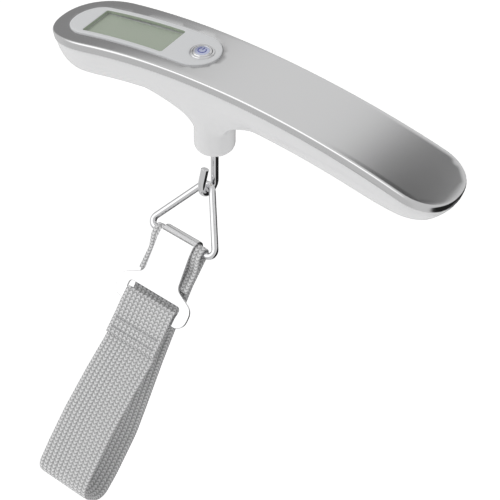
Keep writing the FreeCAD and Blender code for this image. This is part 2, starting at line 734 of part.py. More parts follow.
# --- buckle and strap ---------------------------------------------------------------------------------------------
def buckle_plate():
    points = [below_bar(ROLL_LINE, 1.0), below_bar(ROLL_LINE, -ROLL_LINE), below_bar(-ROLL_LINE, -ROLL_LINE),
              below_bar(-ROLL_LINE, PLATE_CREASE), below_bar(0, PLATE_FLAT), below_bar(0, PLATE_END)]
    sheet = strip(points, (ROLL_LINE, ROLL_LINE, 2.0, 8.0), PLATE, 2 * EAR_HALF_WIDTH)
    half, ear = PLATE_WIDTH / 2, EAR_HALF_WIDTH
    top, shoulder, foot = 8.0, SLOT_TOP - PLATE_SHOULDER, PLATE_END
    flank = [Vector(half - 0.6, 0, -RING_HEIGHT + top), Vector(half, 0, -RING_HEIGHT - shoulder + 0.4),
             Vector(ear, 0, -RING_HEIGHT - SLOT_TOP + 1.0), Vector(ear, 0, -RING_HEIGHT - foot),
             Vector(0, 0, -RING_HEIGHT - foot)]
    right = bent_edges(flank, (2.6, 4.2, 4.0))
    left = [e.mirror(Vector(), X) for e in right]
    closing = line(flank[0], Vector(-flank[0].x, 0, flank[0].z))
    outline = Part.Face(Part.Wire(Part.__sortEdges__(right + left + [closing])))
    blank = outline.extrude(Y * 40).translated(Y * -20)
    slot = Part.makeBox(SLOT[0], 40, SLOT[1], Vector(-SLOT[0] / 2, -20, -RING_HEIGHT - BAR_TOP))
    corners = [e for e in slot.Edges if abs(e.tangentAt(e.FirstParameter).y) > 0.9]
    return swung(one(sheet.common(blank).cut(slot.makeFillet(SLOT_CORNER, corners))))


def strap():
    """The webbing: sewn round the ring's bar, down the back, up the front, through the slot and sewn down."""
    tail = LOOP_LINE - LAYER
    fold = BAR_TOP - FOLD_GAP - WEBBING / 2
    parting = PLATE_END + 1.0
    bottom = STRAP_END - WEBBING / 2
    route = [
        (tail, 15.0, None), (tail, 7.0, 3.0), (-LOOP_LINE, 2.2, 1.6), (-LOOP_LINE, -LOOP_LINE, LOOP_LINE),
        (LOOP_LINE, -LOOP_LINE, LOOP_LINE), (LOOP_LINE, 12.0, 20.0), (WRAP + LAYER + 1.2, 24.0, 40.0),
        (5.8, 40.0, 60.0), (STRAP_BACK - 2.0, 57.0, 60.0), (STRAP_BACK, 68.0, 30.0), (STRAP_BACK, 84.0, 30.0),
        (STRAP_BACK - 1.2, bottom, STRAP_FOLD), (STRAP_FRONT + 0.6, bottom, STRAP_FOLD), (STRAP_FRONT, 82.0, 20.0),
        (STRAP_FRONT, 70.0, 40.0), (STRAP_FRONT + 1.6, 54.0, 50.0), (SEWN_BACK, SEWN_TO + 1.0, 30.0),
        (SEWN_BACK, SEWN_FROM, 6.0), (WRAP, parting, 6.0), (WRAP, fold, WRAP), (-WRAP, fold, WRAP),
        (-WRAP, parting, 6.0), (SEWN_BACK - LAYER, SEWN_FROM, 6.0), (SEWN_BACK - LAYER, SEWN_TO, None),
    ]
    points = [below_bar(back, down) for back, down, _ in route]
    radii = [radius for _, _, radius in route[1:-1]]
    return swung(strip(points, radii, WEBBING, WEBBING_WIDTH))


def strap_stitching():
    """Rows of thread on the front overlap and behind the loop on the bar."""
    length, width, height = STITCH
    rows = [(SEWN_BACK - LAYER - WEBBING / 2 - height / 2, down) for down in STITCH_ROWS]
    rows.append((LOOP_LINE + WEBBING / 2 + height / 2, LOOP_STITCH_ROW))
    pitch = (WEBBING_WIDTH - 2 * STITCH_EDGE) / STITCHES
    stitches = []
    for back, down in rows:
        for k in range(STITCHES):
            x = (k + 0.5 - STITCHES / 2) * pitch
            corner = below_bar(back - height / 2, down + width / 2) + X * (x - length / 2)
            stitches.append(swung(Part.makeBox(length, height, width, corner)))
    return Part.makeCompound(stitches)


def build():
    """Every node's name and shape."""
    outer = hull(0, COVER_RIM + SEAM_GAP)
    cavity = hull(HOUSING_WALL, CAVITY_TOP)
    return {
        "top_cover": top_cover(),
        "lower_housing": lower_housing(outer, cavity),
        "battery_door": battery_door(outer, cavity),
        "display_bezel": display_bezel(),
        "lcd_window": lcd_window(),
        "window_tape": window_tape(),
        "lcd_panel": lcd_panel(),
        "display_holder": display_holder(),
        "zebra_strips": zebra_strips(),
        "circuit_board": circuit_board(),
        "controller_chip": controller_chip(),
        "board_parts": board_parts(),
        "button_collar": button_collar(),
        "power_button": power_button(),
        "tact_switch": tact_switch(),
        "switch_plunger": switch_plunger(),
        "load_cell": load_cell(),
        "strain_gauges": strain_gauges(),
        "cell_screws": cell_screws(),
        "sensor_ribbon": sensor_ribbon(),
        "battery": battery(),
        "battery_tray": battery_tray(cavity),
        "negative_contact": negative_contact(),
        "positive_contact": positive_contact(),
        "battery_leads": battery_leads(),
        "neck_bush": neck_bush(),
        "hook_washer": hook_washer(),
        "hook_nut": turned(hook_nut()),
        "hook": hook(),
        "triangle_ring": triangle_ring(),
        "buckle_plate": buckle_plate(),
        "strap": strap(),
        "strap_stitching": strap_stitching(),
    }


os.makedirs("parts", exist_ok=True)
for name, shape in build().items():
    shape.exportStep(f"parts/{name}.step")
    print(f"{name}: {len(shape.Solids)} solid(s), {shape.Volume:.1f} mm3, valid {shape.isValid()}")
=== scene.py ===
"""A digital luggage scale: arched brushed-steel grip, display, hook, ring, buckle and webbing loop.

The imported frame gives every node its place. Lengths in the classes are millimetres; meshes are made in metres. The
grip lies along X, its arched top passes through the origin over the neck, and the hook and strap hang below it.
"""

import logging
import math
from dataclasses import dataclass
from enum import Enum
from typing import Callable, Sequence

import bmesh
import bpy
import numpy as np
from mathutils import Matrix, Vector
from mathutils.geometry import delaunay_2d_cdt


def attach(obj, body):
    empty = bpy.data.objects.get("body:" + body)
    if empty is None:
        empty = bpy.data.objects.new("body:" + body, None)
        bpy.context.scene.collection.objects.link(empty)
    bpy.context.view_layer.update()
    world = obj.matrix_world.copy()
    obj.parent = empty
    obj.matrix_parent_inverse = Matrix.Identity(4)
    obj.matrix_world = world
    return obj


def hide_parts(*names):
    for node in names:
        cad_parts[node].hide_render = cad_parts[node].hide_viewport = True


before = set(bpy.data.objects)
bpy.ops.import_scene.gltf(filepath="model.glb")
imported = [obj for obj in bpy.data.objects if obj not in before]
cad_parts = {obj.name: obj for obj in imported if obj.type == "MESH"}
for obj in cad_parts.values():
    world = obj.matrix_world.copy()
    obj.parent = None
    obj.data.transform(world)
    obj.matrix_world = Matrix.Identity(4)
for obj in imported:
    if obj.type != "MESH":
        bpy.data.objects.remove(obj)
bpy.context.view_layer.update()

LOG = logging.getLogger("luggage_scale")
MM = 0.001
MERGE = 0.002 * MM
SHARP = math.radians(38)
ARC_POINTS = 2.6                  # the least points on an arc, for each radian

Flat = tuple[float, float]
Loop = list[Flat]
Colour = tuple[float, float, float]
Place = Callable[[float, float, float], Vector]


# --- finishes ---
class Grain(Enum):
    """How a finish's fine structure runs over its surface."""

    EVEN = (1.0, 1.0, 1.0)
    ALONG = (0.012, 1.0, 1.0)
    ROLLED = (0.25, 1.0, 1.0)


class Tree:
    """Short calls for making and joining nodes in one tree."""

    def __init__(self, tree: bpy.types.NodeTree) -> None:
        """Takes the tree, emptied."""
        self.tree = tree
        tree.nodes.clear()

    def add(self, kind: str, **inputs: object) -> bpy.types.Node:
        """Makes a node.

        Args:
            kind: the node's type, such as "ShaderNodeBump".
            inputs: values or sockets by input name, with _ for a space, or by number, as i0, or its own settings.

        Returns:
            The node.
        """
        node = self.tree.nodes.new(kind)
        for key, value in inputs.items():
            if hasattr(node, key):
                setattr(node, key, value)
                continue
            numbered = key[0] == "i" and key[1:].isdigit()
            socket = node.inputs[int(key[1:]) if numbered else key.replace("_", " ")]
            if isinstance(value, bpy.types.NodeSocket):
                self.tree.links.new(value, socket)
            else:
                socket.default_value = value
        return node

    def sum(self, operation: str, *terms: object) -> bpy.types.NodeSocket:
        """One step of arithmetic on values or sockets: the result's socket."""
        numbered = {f"i{k}": term for k, term in enumerate(terms)}
        return self.add("ShaderNodeMath", operation=operation, **numbered).outputs[0]

    def times(self, a: object, b: object) -> bpy.types.NodeSocket:
        """The product of two values or sockets."""
        return self.sum("MULTIPLY", a, b)

    def plus(self, a: object, b: object) -> bpy.types.NodeSocket:
        """The sum of two values or sockets."""
        return self.sum("ADD", a, b)

    def blend(self, share: object, low: Colour, high: Colour) -> bpy.types.NodeSocket:
        """A colour between two, by a share: the result's socket."""
        mix = self.add("ShaderNodeMix", data_type="RGBA", i0=share, i6=(*low, 1.0), i7=(*high, 1.0))
        return mix.outputs[2]


@dataclass(frozen=True)
class Finish:
    """A surface finish, with its colour drift, roughness drift and fine relief."""

    name: str
    colour: Colour
    rough: float = 0.4
    metal: float = 0.0
    drift: float = 0.05
    rough_drift: float = 0.05
    scale: float = 900.0
    grain: Grain = Grain.EVEN
    relief: float = 0.02
    coat: float = 0.0
    alpha: float = 1.0

    def shader(self, tree: Tree, **inputs: object) -> None:
        """Adds the surface shader: its uniform values, and the inputs given as values or sockets."""
        surface = tree.add("ShaderNodeBsdfPrincipled", Metallic=self.metal, Alpha=self.alpha,
                           Coat_Weight=self.coat, Coat_Roughness=0.08, **inputs)
        tree.add("ShaderNodeOutputMaterial", Surface=surface.outputs[0])

    def material(self) -> bpy.types.Material:
        """The finish as a material, made once and then shared."""
        made = bpy.data.materials.get(self.name)
        if made:
            return made
        made = bpy.data.materials.new(self.name)
        made.use_nodes = True
        self.dress(Tree(made.node_tree))
        return made

    def dress(self, tree: Tree) -> None:
        """Fills the material's tree."""
        place = tree.add("ShaderNodeTexCoord").outputs["Object"]
        stretched = tree.add("ShaderNodeMapping", Vector=place, Scale=self.grain.value).outputs[0]
        fine = tree.add("ShaderNodeTexNoise", Vector=stretched, Scale=self.scale, Detail=3.0).outputs[0]
        broad = tree.add("ShaderNodeTexNoise", Vector=place, Scale=60.0, Detail=2.0).outputs[0]
        share = tree.plus(tree.times(fine, 0.6), tree.times(broad, 0.4))
        low = tuple(max(0.0, c * (1 - self.drift)) for c in self.colour)
        high = tuple(min(1.0, c * (1 + self.drift)) for c in self.colour)
        spread = tree.add("ShaderNodeMapRange", Value=share, To_Min=self.rough - self.rough_drift,
                          To_Max=self.rough + self.rough_drift)
        bump = tree.add("ShaderNodeBump", Height=fine, Strength=0.35, Distance=self.relief * MM)
        self.shader(tree, Base_Color=tree.blend(share, low, high), Roughness=spread.outputs[0],
                    Normal=bump.outputs[0])


@dataclass(frozen=True)
class Webbing(Finish):
    """Woven polyester: ribs along the strap, crossed by slanting picks, read from its own map in millimetres."""

    rib: float = 1.83
    pick: float = 1.25
    slope: float = 0.9
    # The dark grey painted into the weave's hollows as shade.
    hollow_shade_colour: Colour = (0.33, 0.33, 0.333)

    def dress(self, tree: Tree) -> None:
        """Fills the material's tree."""
        chart = tree.add("ShaderNodeUVMap", uv_map="weave").outputs[0]
        parts = tree.add("ShaderNodeSeparateXYZ", Vector=chart)
        across, along = parts.outputs[0], parts.outputs[1]
        fold = tree.sum("PINGPONG", across, self.rib / 2)
        crest = tree.sum("SINE", tree.times(fold, math.pi / self.rib))
        slant = tree.plus(along, tree.times(fold, self.slope))
        wave = tree.sum("SINE", tree.times(slant, 2 * math.pi / self.pick))
        pick = tree.sum("MULTIPLY_ADD", wave, 0.5, 0.5)
        strand = tree.sum("SINE", tree.times(tree.plus(slant, across), 4 * math.pi / self.pick))
        body = tree.times(tree.sum("POWER", crest, 0.45), tree.sum("POWER", pick, 0.35))
        speckle = tree.add("ShaderNodeTexNoise", Vector=chart, Scale=2.2, Detail=3.0).outputs[0]
        share = tree.plus(body, tree.times(tree.sum("SUBTRACT", speckle, 0.5), 0.55))
        share = tree.plus(share, tree.times(strand, 0.04))
        # Painted shade: the colour darkens towards the dark grey in the weave's hollows, with a random speckle in the
        # yarn's tone mixed in.
        limits = tree.add("ShaderNodeMapRange", Value=share, From_Min=0.1, From_Max=0.95).outputs[0]
        height = tree.plus(body, tree.times(strand, 0.12))
        bump = tree.add("ShaderNodeBump", Height=height, Strength=0.7, Distance=self.relief * MM)
        self.shader(tree, Base_Color=tree.blend(limits, self.hollow_shade_colour, self.colour), Roughness=self.rough,
                    Normal=bump.outputs[0], Sheen_Weight=0.15, Specular_IOR_Level=0.25)


@dataclass(frozen=True)
class Liquid(Finish):
    """The display's grey-green glass, with painted shade that darkens it near the bezel window's far and right-hand
    walls.
    """

    centre: Flat = (-32.9, 0.0)
    half: Flat = (16.5, 6.95)
    shade: Colour = (0.12, 0.135, 0.115)

    def dress(self, tree: Tree) -> None:
        """Fills the material's tree."""
        place = tree.add("ShaderNodeTexCoord").outputs["Object"]
        moved = tree.add("ShaderNodeMapping", Vector=place, Scale=(1 / MM, 1 / MM, 1 / MM),
                         Location=(-self.centre[0], -self.centre[1], 0))
        parts = tree.add("ShaderNodeSeparateXYZ", Vector=moved.outputs[0])
        shades = []
        # Painted shade: the colour darkens towards the shade colour near the window's far wall and, more weakly, near
        # its right-hand wall.
        for axis, before, past in ((1, 4.2, -0.6), (0, 7.0, 1.5)):
            edge = self.half[axis]
            shades.append(tree.add("ShaderNodeMapRange", Value=parts.outputs[axis], From_Min=edge - before,
                                   From_Max=edge + past, interpolation_type="SMOOTHSTEP").outputs[0])
        share = tree.sum("MAXIMUM", shades[0], tree.times(shades[1], 0.55))
        grain = tree.add("ShaderNodeTexNoise", Vector=place, Scale=2400.0).outputs[0]
        share = tree.plus(share, tree.times(tree.sum("SUBTRACT", grain, 0.5), 0.05))
        share.node.use_clamp = True
        self.shader(tree, Base_Color=tree.blend(share, self.colour, self.shade), Roughness=self.rough,
                    Specular_IOR_Level=0.3)


STEEL = Finish("brushed_steel", (0.78, 0.78, 0.785), rough=0.175, metal=1.0, drift=0.02, rough_drift=0.025,
               scale=3200.0, grain=Grain.ALONG, relief=0.003)
WHITE = Finish("gloss_white_shell", (0.80, 0.80, 0.805), rough=0.22, drift=0.012, rough_drift=0.04, relief=0.006,
               coat=0.25)
BEZEL = Finish("bezel_plastic", (0.87, 0.875, 0.875), rough=0.30, drift=0.012, rough_drift=0.04, relief=0.006,
               coat=0.1)
CHROME = Finish("bright_chrome", (0.83, 0.83, 0.84), rough=0.055, metal=1.0, drift=0.02, rough_drift=0.02,
                relief=0.004, grain=Grain.ROLLED)
BRIGHT = Finish("polished_plate", (0.86, 0.86, 0.865), rough=0.16, metal=1.0, drift=0.02, rough_drift=0.04,
                relief=0.008, grain=Grain.ROLLED)
WEB = Webbing("woven_grey", (0.90, 0.90, 0.905), rough=0.85, relief=0.22)
# The thread's darker grey is partly its own colour and partly painted shade along the stitch rows.
THREAD = Finish("sewing_thread", (0.42, 0.42, 0.43), rough=0.8, drift=0.2, scale=4000.0, relief=0.05)
LENS = Finish("clear_window", (0.95, 0.96, 0.95), rough=0.04, drift=0.0, rough_drift=0.02, relief=0.002,
              alpha=0.06)
LCD = Liquid("display_glass", (0.205, 0.249, 0.171), rough=0.35)
BLUE = Finish("symbol_blue", (0.09, 0.10, 0.42), rough=0.3, drift=0.08, relief=0.006)
PALE_BLUE = Finish("button_face", (0.62, 0.66, 0.86), rough=0.14, metal=0.75, drift=0.04, relief=0.006)
BLACK = Finish("black_moulding", (0.03, 0.03, 0.032), rough=0.45, drift=0.15, relief=0.02)
MILK = Finish("natural_moulding", (0.72, 0.72, 0.69), rough=0.42, drift=0.03, relief=0.02)
BOARD = Finish("board_green", (0.03, 0.16, 0.07), rough=0.35, drift=0.2, scale=1500.0, relief=0.02)
ALLOY = Finish("milled_alloy", (0.72, 0.73, 0.74), rough=0.34, metal=1.0, drift=0.04, grain=Grain.ALONG,
               relief=0.015)
ZINC = Finish("zinc_plate", (0.60, 0.60, 0.58), rough=0.3, metal=1.0, drift=0.06, relief=0.015)
BRASS = Finish("turned_brass", (0.71, 0.55, 0.27), rough=0.28, metal=1.0, drift=0.05, relief=0.01)
RUBBER = Finish("zebra_rubber", (0.22, 0.22, 0.23), rough=0.7, drift=0.35, scale=4000.0, grain=Grain.EVEN)
FOIL = Finish("gauge_foil", (0.62, 0.36, 0.12), rough=0.35, drift=0.25, scale=3000.0, relief=0.01)
RED = Finish("lead_red", (0.50, 0.03, 0.03), rough=0.45, drift=0.1)
TAPE = Finish("white_tape", (0.68, 0.69, 0.69), rough=0.6, drift=0.05)

CARRIED: dict[Finish, tuple[str, ...]] = {
    WHITE: ("battery_door",), LENS: ("lcd_window",), LCD: ("lcd_panel",), TAPE: ("window_tape", "sensor_ribbon"),
    MILK: ("display_holder", "battery_tray"), RUBBER: ("zebra_strips",), BOARD: ("circuit_board",),
    BLACK: ("controller_chip", "board_parts", "tact_switch", "switch_plunger"), ALLOY: ("load_cell",),
    FOIL: ("strain_gauges",), ZINC: ("cell_screws", "battery", "hook_washer"), RED: ("battery_leads",),
    BRASS: ("negative_contact", "positive_contact", "neck_bush", "hook_nut"),
}


# --- mesh making ---
class Shell:
    """A mesh being made: its points in millimetres, and its faces."""

    def __init__(self) -> None:
        """Starts empty."""
        self.points: list[Vector] = []
        self.faces: list[tuple[int, ...]] = []
        self.chart: dict[int, Flat] = {}

    def ring(self, points: Sequence[Vector]) -> list[int]:
        """Adds points and returns their indices."""
        first = len(self.points)
        self.points.extend(Vector(p) for p in points)
        return list(range(first, len(self.points)))

    def bridge(self, a: Sequence[int], b: Sequence[int], closed: bool = True) -> None:
        """Joins two rows of as many points with quads."""
        for k in range(len(a) if closed else len(a) - 1):
            n = (k + 1) % len(a)
            self.faces.append((a[k], a[n], b[n], b[k]))

    def chain(self, rows: Sequence[Sequence[int]], closed: bool = True) -> None:
        """Joins each row to the next."""
        for a, b in zip(rows, rows[1:]):
            self.bridge(a, b, closed)

    def fan(self, ring: Sequence[int], tip: Vector) -> None:
        """Closes a ring over a point."""
        (top,) = self.ring([tip])
        for k in range(len(ring)):
            self.faces.append((ring[k], ring[(k + 1) % len(ring)], top))

    def fill(self, loops: Sequence[Loop], spacing: float, put: Callable[[float, float], Vector]) -> None:
        """Covers an outline less its holes with even triangles.

        Args:
            loops: the outline and then its holes, in the flat.
            spacing: the distance between points inside.
            put: where a flat point stands in the round.
        """
        edges, flat = [], []
        for loop in loops:
            first = len(flat)
            flat.extend(loop)
            edges.extend((first + k, first + (k + 1) % len(loop)) for k in range(len(loop)))
        rim = np.array(flat)
        low, high = rim.min(0), rim.max(0)
        xs = np.arange(low[0] + spacing / 2, high[0], spacing)
        ys = np.arange(low[1] + spacing / 2, high[1], spacing)
        inner = np.stack(np.meshgrid(xs, ys), -1).reshape(-1, 2)
        inner = inner[inside(inner, loops)]
        gaps = ((inner[:, None] - rim[None]) ** 2).sum(-1).min(1)
        inner = inner[gaps > (0.45 * spacing) ** 2]
        points = [Vector(p) for p in flat] + [Vector(p) for p in inner]
        made, _, faces, *_ = delaunay_2d_cdt(points, edges, [], 0, 1e-6)
        centres = np.array([[sum(made[i][a] for i in f) / len(f) for a in (0, 1)] for f in faces])
        keep = inside(centres, loops)
        where = self.ring([put(p[0], p[1]) for p in made])
        self.faces.extend(tuple(where[i] for i in f) for f, k in zip(faces, keep) if k)

    def mesh(self) -> bpy.types.Mesh:
        """The finished mesh: merged, without loose points, its faces outwards and its sharp edges kept."""
        made = bpy.data.meshes.new("shell")
        made.from_pydata([p * MM for p in self.points], [], self.faces)
        if self.chart:
            layer = made.uv_layers.new(name="weave")
            for corner in made.loops:
                layer.data[corner.index].uv = self.chart.get(corner.vertex_index, (0.0, 0.0))
        work = bmesh.new()
        work.from_mesh(made)
        bmesh.ops.remove_doubles(work, verts=work.verts, dist=MERGE)
        bmesh.ops.dissolve_degenerate(work, edges=work.edges, dist=MERGE / 4)
        bmesh.ops.delete(work, geom=[v for v in work.verts if not v.link_faces], context="VERTS")
        bmesh.ops.recalc_face_normals(work, faces=work.faces)
        work.to_mesh(made)
        work.free()
        made.shade_smooth()
        made.set_sharp_from_angle(angle=SHARP)
        return made


def turns(count: int, sweep: float = 2 * math.pi) -> list[float]:
    """Evenly spaced angles from nothing up to, but without, the sweep."""
    return [sweep * k / count for k in range(count)]


def inside(points: np.ndarray, loops: Sequence[Loop]) -> np.ndarray:
    """Tells which points lie inside the first loop and outside the rest.

    Args:
        points: the points, one in each row.
        loops: an outline and then its holes.

    Returns:
        For each point, whether it does.
    """
    odd = np.zeros(len(points), int)
    for loop in loops:
        a = np.array(loop)
        b = np.roll(a, -1, 0)
        for (x1, y1), (x2, y2) in zip(a, b):
            if y1 != y2:
                over = (y1 > points[:, 1]) != (y2 > points[:, 1])
                odd += over & (points[:, 0] < (x2 - x1) * (points[:, 1] - y1) / (y2 - y1) + x1)
    return odd % 2 == 1


def rounded(corners: Sequence[Flat], radii: Sequence[float], step: float) -> Loop:
    """Points along straight runs joined by tangent arcs.

    Args:
        corners: the corner points, first and last included.
        radii: the arc's radius at each corner but the first and last.
        step: the distance between points.

    Returns:
        The points, first and last included.
    """
    at = [Vector(c) for c in corners]
    path = [at[0]]

    def straight(stop: Vector) -> None:
        """Runs on to a point."""
        start = path[-1].copy()
        runs = max(1, round((stop - start).length / step))
        path.extend(start.lerp(stop, k / runs) for k in range(1, runs + 1))

    for before, corner, after, radius in zip(at, at[1:], at[2:], radii):
        back, onward = (before - corner).normalized(), (after - corner).normalized()
        half = back.angle(onward) / 2
        centre = corner + (back + onward).normalized() * (radius / math.sin(half))
        first = corner + back * (radius / math.tan(half))
        last = corner + onward * (radius / math.tan(half))
        straight(first)
        sweep = (first - centre).angle_signed(last - centre)
        arcs = max(2, math.ceil(abs(sweep) * max(radius / step, ARC_POINTS)))
        spoke = first - centre
        path += [centre + Matrix.Rotation(-sweep * k / arcs, 2) @ spoke for k in range(1, arcs + 1)]
    straight(at[-1])
    return [(p[0], p[1]) for p in path]


def grown(loop: Loop, by: float) -> Loop:
    """Moves a loop outwards.

    Args:
        loop: a loop that runs anticlockwise.
        by: how far, or inwards if it is negative.

    Returns:
        The moved loop, with as many points.
    """
    a = np.array(loop)
    along = np.roll(a, -1, 0) - np.roll(a, 1, 0)
    along /= np.maximum(np.linalg.norm(along, axis=1, keepdims=True), 1e-9)
    return [tuple(p) for p in a + by * np.stack([along[:, 1], -along[:, 0]], 1)]


def pane(half: Flat, corner: float, centre: Flat = (0.0, 0.0), step: float = 1.0) -> Loop:
    """A rectangle with rounded corners, anticlockwise."""
    x, y = half
    loop = rounded([(0, -y), (x, -y), (x, y), (-x, y), (-x, -y), (0, -y)], (corner,) * 4, step)[:-1]
    return [(p + centre[0], q + centre[1]) for p, q in loop]


class Run:
    """A smooth line in a plane, read by the distance along it."""

    def __init__(self, path: Loop) -> None:
        """Takes the line's points."""
        self.path = np.array(path)
        self.marks = np.concatenate([[0], np.cumsum(np.linalg.norm(np.diff(self.path, axis=0), axis=1))])

    @property
    def length(self) -> float:
        """The line's whole length."""
        return float(self.marks[-1])

    def at(self, distance: float) -> Flat:
        """The point at a distance."""
        return tuple(float(np.interp(distance, self.marks, self.path[:, k])) for k in (0, 1))

    def side(self, distance: float, reach: float = 0.12) -> Flat:
        """The unit direction square to the line at a distance, to its right."""
        a, b = self.at(max(0.0, distance - reach)), self.at(min(self.length, distance + reach))
        u, v = b[0] - a[0], b[1] - a[1]
        size = math.hypot(u, v) or 1.0
        return v / size, -u / size


def rod(
    shell: Shell, path: Sequence[Vector], radii: Sequence[float], square: Vector, closed: bool, sides: int = 28
) -> None:
    """Sweeps a round section along a path that lies in one plane.

    Args:
        shell: where the rod goes.
        path: the middle line.
        radii: the section's radius at each point.
        square: the unit direction square to the plane.
        closed: whether the path joins up.
        sides: how many points the section has.
    """
    rows = []
    count = len(path)
    for k, (middle, radius) in enumerate(zip(path, radii)):
        after = path[(k + 1) % count] if closed or k + 1 < count else middle
        before = path[k - 1] if closed or k else middle
        across = (after - before).normalized().cross(square)
        section = [middle + radius * (math.cos(t) * square + math.sin(t) * across) for t in turns(sides)]
        rows.append(shell.ring(section))
    shell.chain(rows + rows[:1] if closed else rows)
    if not closed:
        shell.fan(rows[0], path[0])
        shell.fan(rows[-1], path[-1])


def spin(shell: Shell, profile: Sequence[Flat], place: Place, sides: int = 72) -> None:
    """Turns a profile about its axis.

    Args:
        shell: where the surface goes.
        profile: radius and height at each point; a radius of nothing at an end closes it.
        place: where a point stands, from its two places across and its height.
        sides: how many points go round.
    """
    rows = []
    for radius, height in profile:
        if radius > 0:
            circle = [place(radius * math.cos(t), radius * math.sin(t), height) for t in turns(sides)]
            rows.append(shell.ring(circle))
    shell.chain(rows)
    for (radius, height), row in ((profile[0], rows[0]), (profile[-1], rows[-1])):
        if radius == 0:
            shell.fan(row, place(0, 0, height))


def show(name: str, mesh: bpy.types.Mesh, finish: Finish, body: str, slot: str, *nodes: str) -> bpy.types.Object:
    """Puts a finished mesh in the scene.

    Args:
        name: the piece's name.
        mesh: its mesh, in place.
        finish: what it is dressed in.
        body: the body that it moves with.
        slot: the record's material slot; not used.
        nodes: the nodes that it stands for.

    Returns:
        The piece.
    """
    mesh.name = name
    piece = bpy.data.objects.new(name, mesh)
    bpy.context.scene.collection.objects.link(piece)
    mesh.materials.clear()
    mesh.materials.append(finish.material())
    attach(piece, body)
    if nodes:
        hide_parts(*nodes)
    LOG.info("%s: %d faces in %s on %s", name, len(mesh.polygons), finish.name, body)
    return piece


# --- the grip ---
@dataclass(frozen=True)
class GripForm:
    """The arched form that the grip's pieces follow: s is a distance along its top, drop a depth below it."""

    display_reach: float = 64.6
    plain_reach: float = 94.4
    display_arch: float = 238.0
    plain_arch: float = 312.0
    neck_half: float = 13.8
    taper: float = 0.0150
    widen: float = 0.00020
    display_round: float = 22.0
    plain_round: float = 15.0
    end_power: float = 2.2
    breaks: tuple[float, ...] = (-42.6, -24.0, 24.0, 50.75, 77.25)
    steps: tuple[int, ...] = (12, 30, 14, 14)
    end_steps: tuple[int, int] = (18, 14)

    def on(self, s: float, y: float = 0.0, drop: float = 0.0) -> Vector:
        """The point at s, y across and drop below the arch."""
        radius = self.display_arch if s < 0 else self.plain_arch
        turn = s / radius
        return Vector(((radius - drop) * math.sin(turn), y, (radius - drop) * math.cos(turn) - radius))

    def seat(self, s: float) -> Place:
        """Where a point stands that is given along, across and above the arch's top at s."""
        turn = s / (self.display_arch if s < 0 else self.plain_arch)
        base = self.on(s)
        spin_by = Matrix.Rotation(turn, 3, "Y")
        return lambda x, y, h: spin_by @ Vector((x, y, h)) + base

    @staticmethod
    def share(along: float, length: float, power: float) -> float:
        """Finds how full the form is near a rounded end.

        Args:
            along: the distance from the end.
            length: how far the rounding reaches.
            power: how square the rounding is, 2 for an ellipse.

        Returns:
            The width or depth there, as a share of the full one.
        """
        if along >= length:
            return 1.0
        return (1 - max(0.0, min(1.0, (length - along) / length)) ** power) ** (1 / power)

    def stations(self) -> list[tuple[int, float]]:
        """Lists where the sections stand.

        Returns:
            Pairs: 0 with a share of the display end's rounding, 1 with s, or 2 with a share of the plain end's.
        """
        first, last = self.end_steps
        found = [(0, 1 - math.cos(math.pi / 2 * k / first)) for k in range(first)]
        for a, b, n in zip(self.breaks, self.breaks[1:], self.steps):
            found += [(1, a + (b - a) * k / n) for k in range(n)]
        found.append((1, self.breaks[-1]))
        return found + [(2, 1 - math.cos(math.pi / 2 * k / last)) for k in reversed(range(last))]

    def along(self, station: tuple[int, float], inset: float) -> float:
        """A station's s on the outline moved in by inset."""
        zone, at = station
        if zone == 0:
            return inset - self.display_reach + at * (self.display_round - inset)
        return at if zone == 1 else self.plain_reach - inset - at * (self.plain_round - inset)

    def half(self, s: float, inset: float) -> float:
        """Half the width at s of the outline moved in by inset."""
        wide = self.neck_half - self.taper * s + self.widen * s * s - inset
        near = self.share(s + self.display_reach - inset, self.display_round - inset, self.end_power)
        return wide * near * self.share(self.plain_reach - inset - s, self.plain_round - inset, self.end_power)

    def outline(self, inset: float) -> Loop:
        """The outline moved in by inset, anticlockwise from the display end's tip."""
        marks = [self.along(station, inset) for station in self.stations()]
        near = [(s, -self.half(s, inset)) for s in marks]
        return near + [(s, -y) for s, y in near[-2:0:-1]]


@dataclass(frozen=True)
class Pill:
    """The outline of the display bezel, which the cover's opening follows."""

    start: float = -58.25
    length: float = 59.5
    half: float = 8.8
    steps: int = 26
    runs: int = 24

    def outline(self, grow: float) -> Loop:
        """The outline moved out by grow, anticlockwise."""
        radius = self.half + grow
        left, right = self.start + self.half, self.start + self.length - self.half
        angles = [math.pi * k / self.steps for k in range(self.steps + 1)]
        far = [(right + radius * math.sin(t), -radius * math.cos(t)) for t in angles]
        near = [(left - radius * math.sin(t), radius * math.cos(t)) for t in angles]
        top = [(right + (left - right) * k / self.runs, radius) for k in range(1, self.runs)]
        foot = [(left + (right - left) * k / self.runs, -radius) for k in range(1, self.runs)]
        return far + top + near + foot


def plate(
    shell: Shell, loops: Sequence[Callable[[float], Loop]], edges: Sequence[Sequence[Flat]], spacing: float, put: Place
) -> None:
    """A plate with holes and shaped edges, laid on a carrier surface.

    Args:
        shell: where the plate goes.
        loops: the outline and then the holes, each as a loop moved out by a distance.
        edges: for each loop, its edge's profile from the upper face to the lower: distance moved out, and depth.
        spacing: the distance between points on the faces.
        put: where a point stands, from its two flat places and its depth.
    """
    for loop, edge in zip(loops, edges):
        shell.chain([shell.ring([put(u, v, depth) for u, v in loop(move)]) for move, depth in edge])
    for end in (0, -1):
        depth = edges[0][end][1]
        outlines = [loop(edge[end][0]) for loop, edge in zip(loops, edges)]
        shell.fill(outlines, spacing, lambda u, v, d=depth: put(u, v, d))


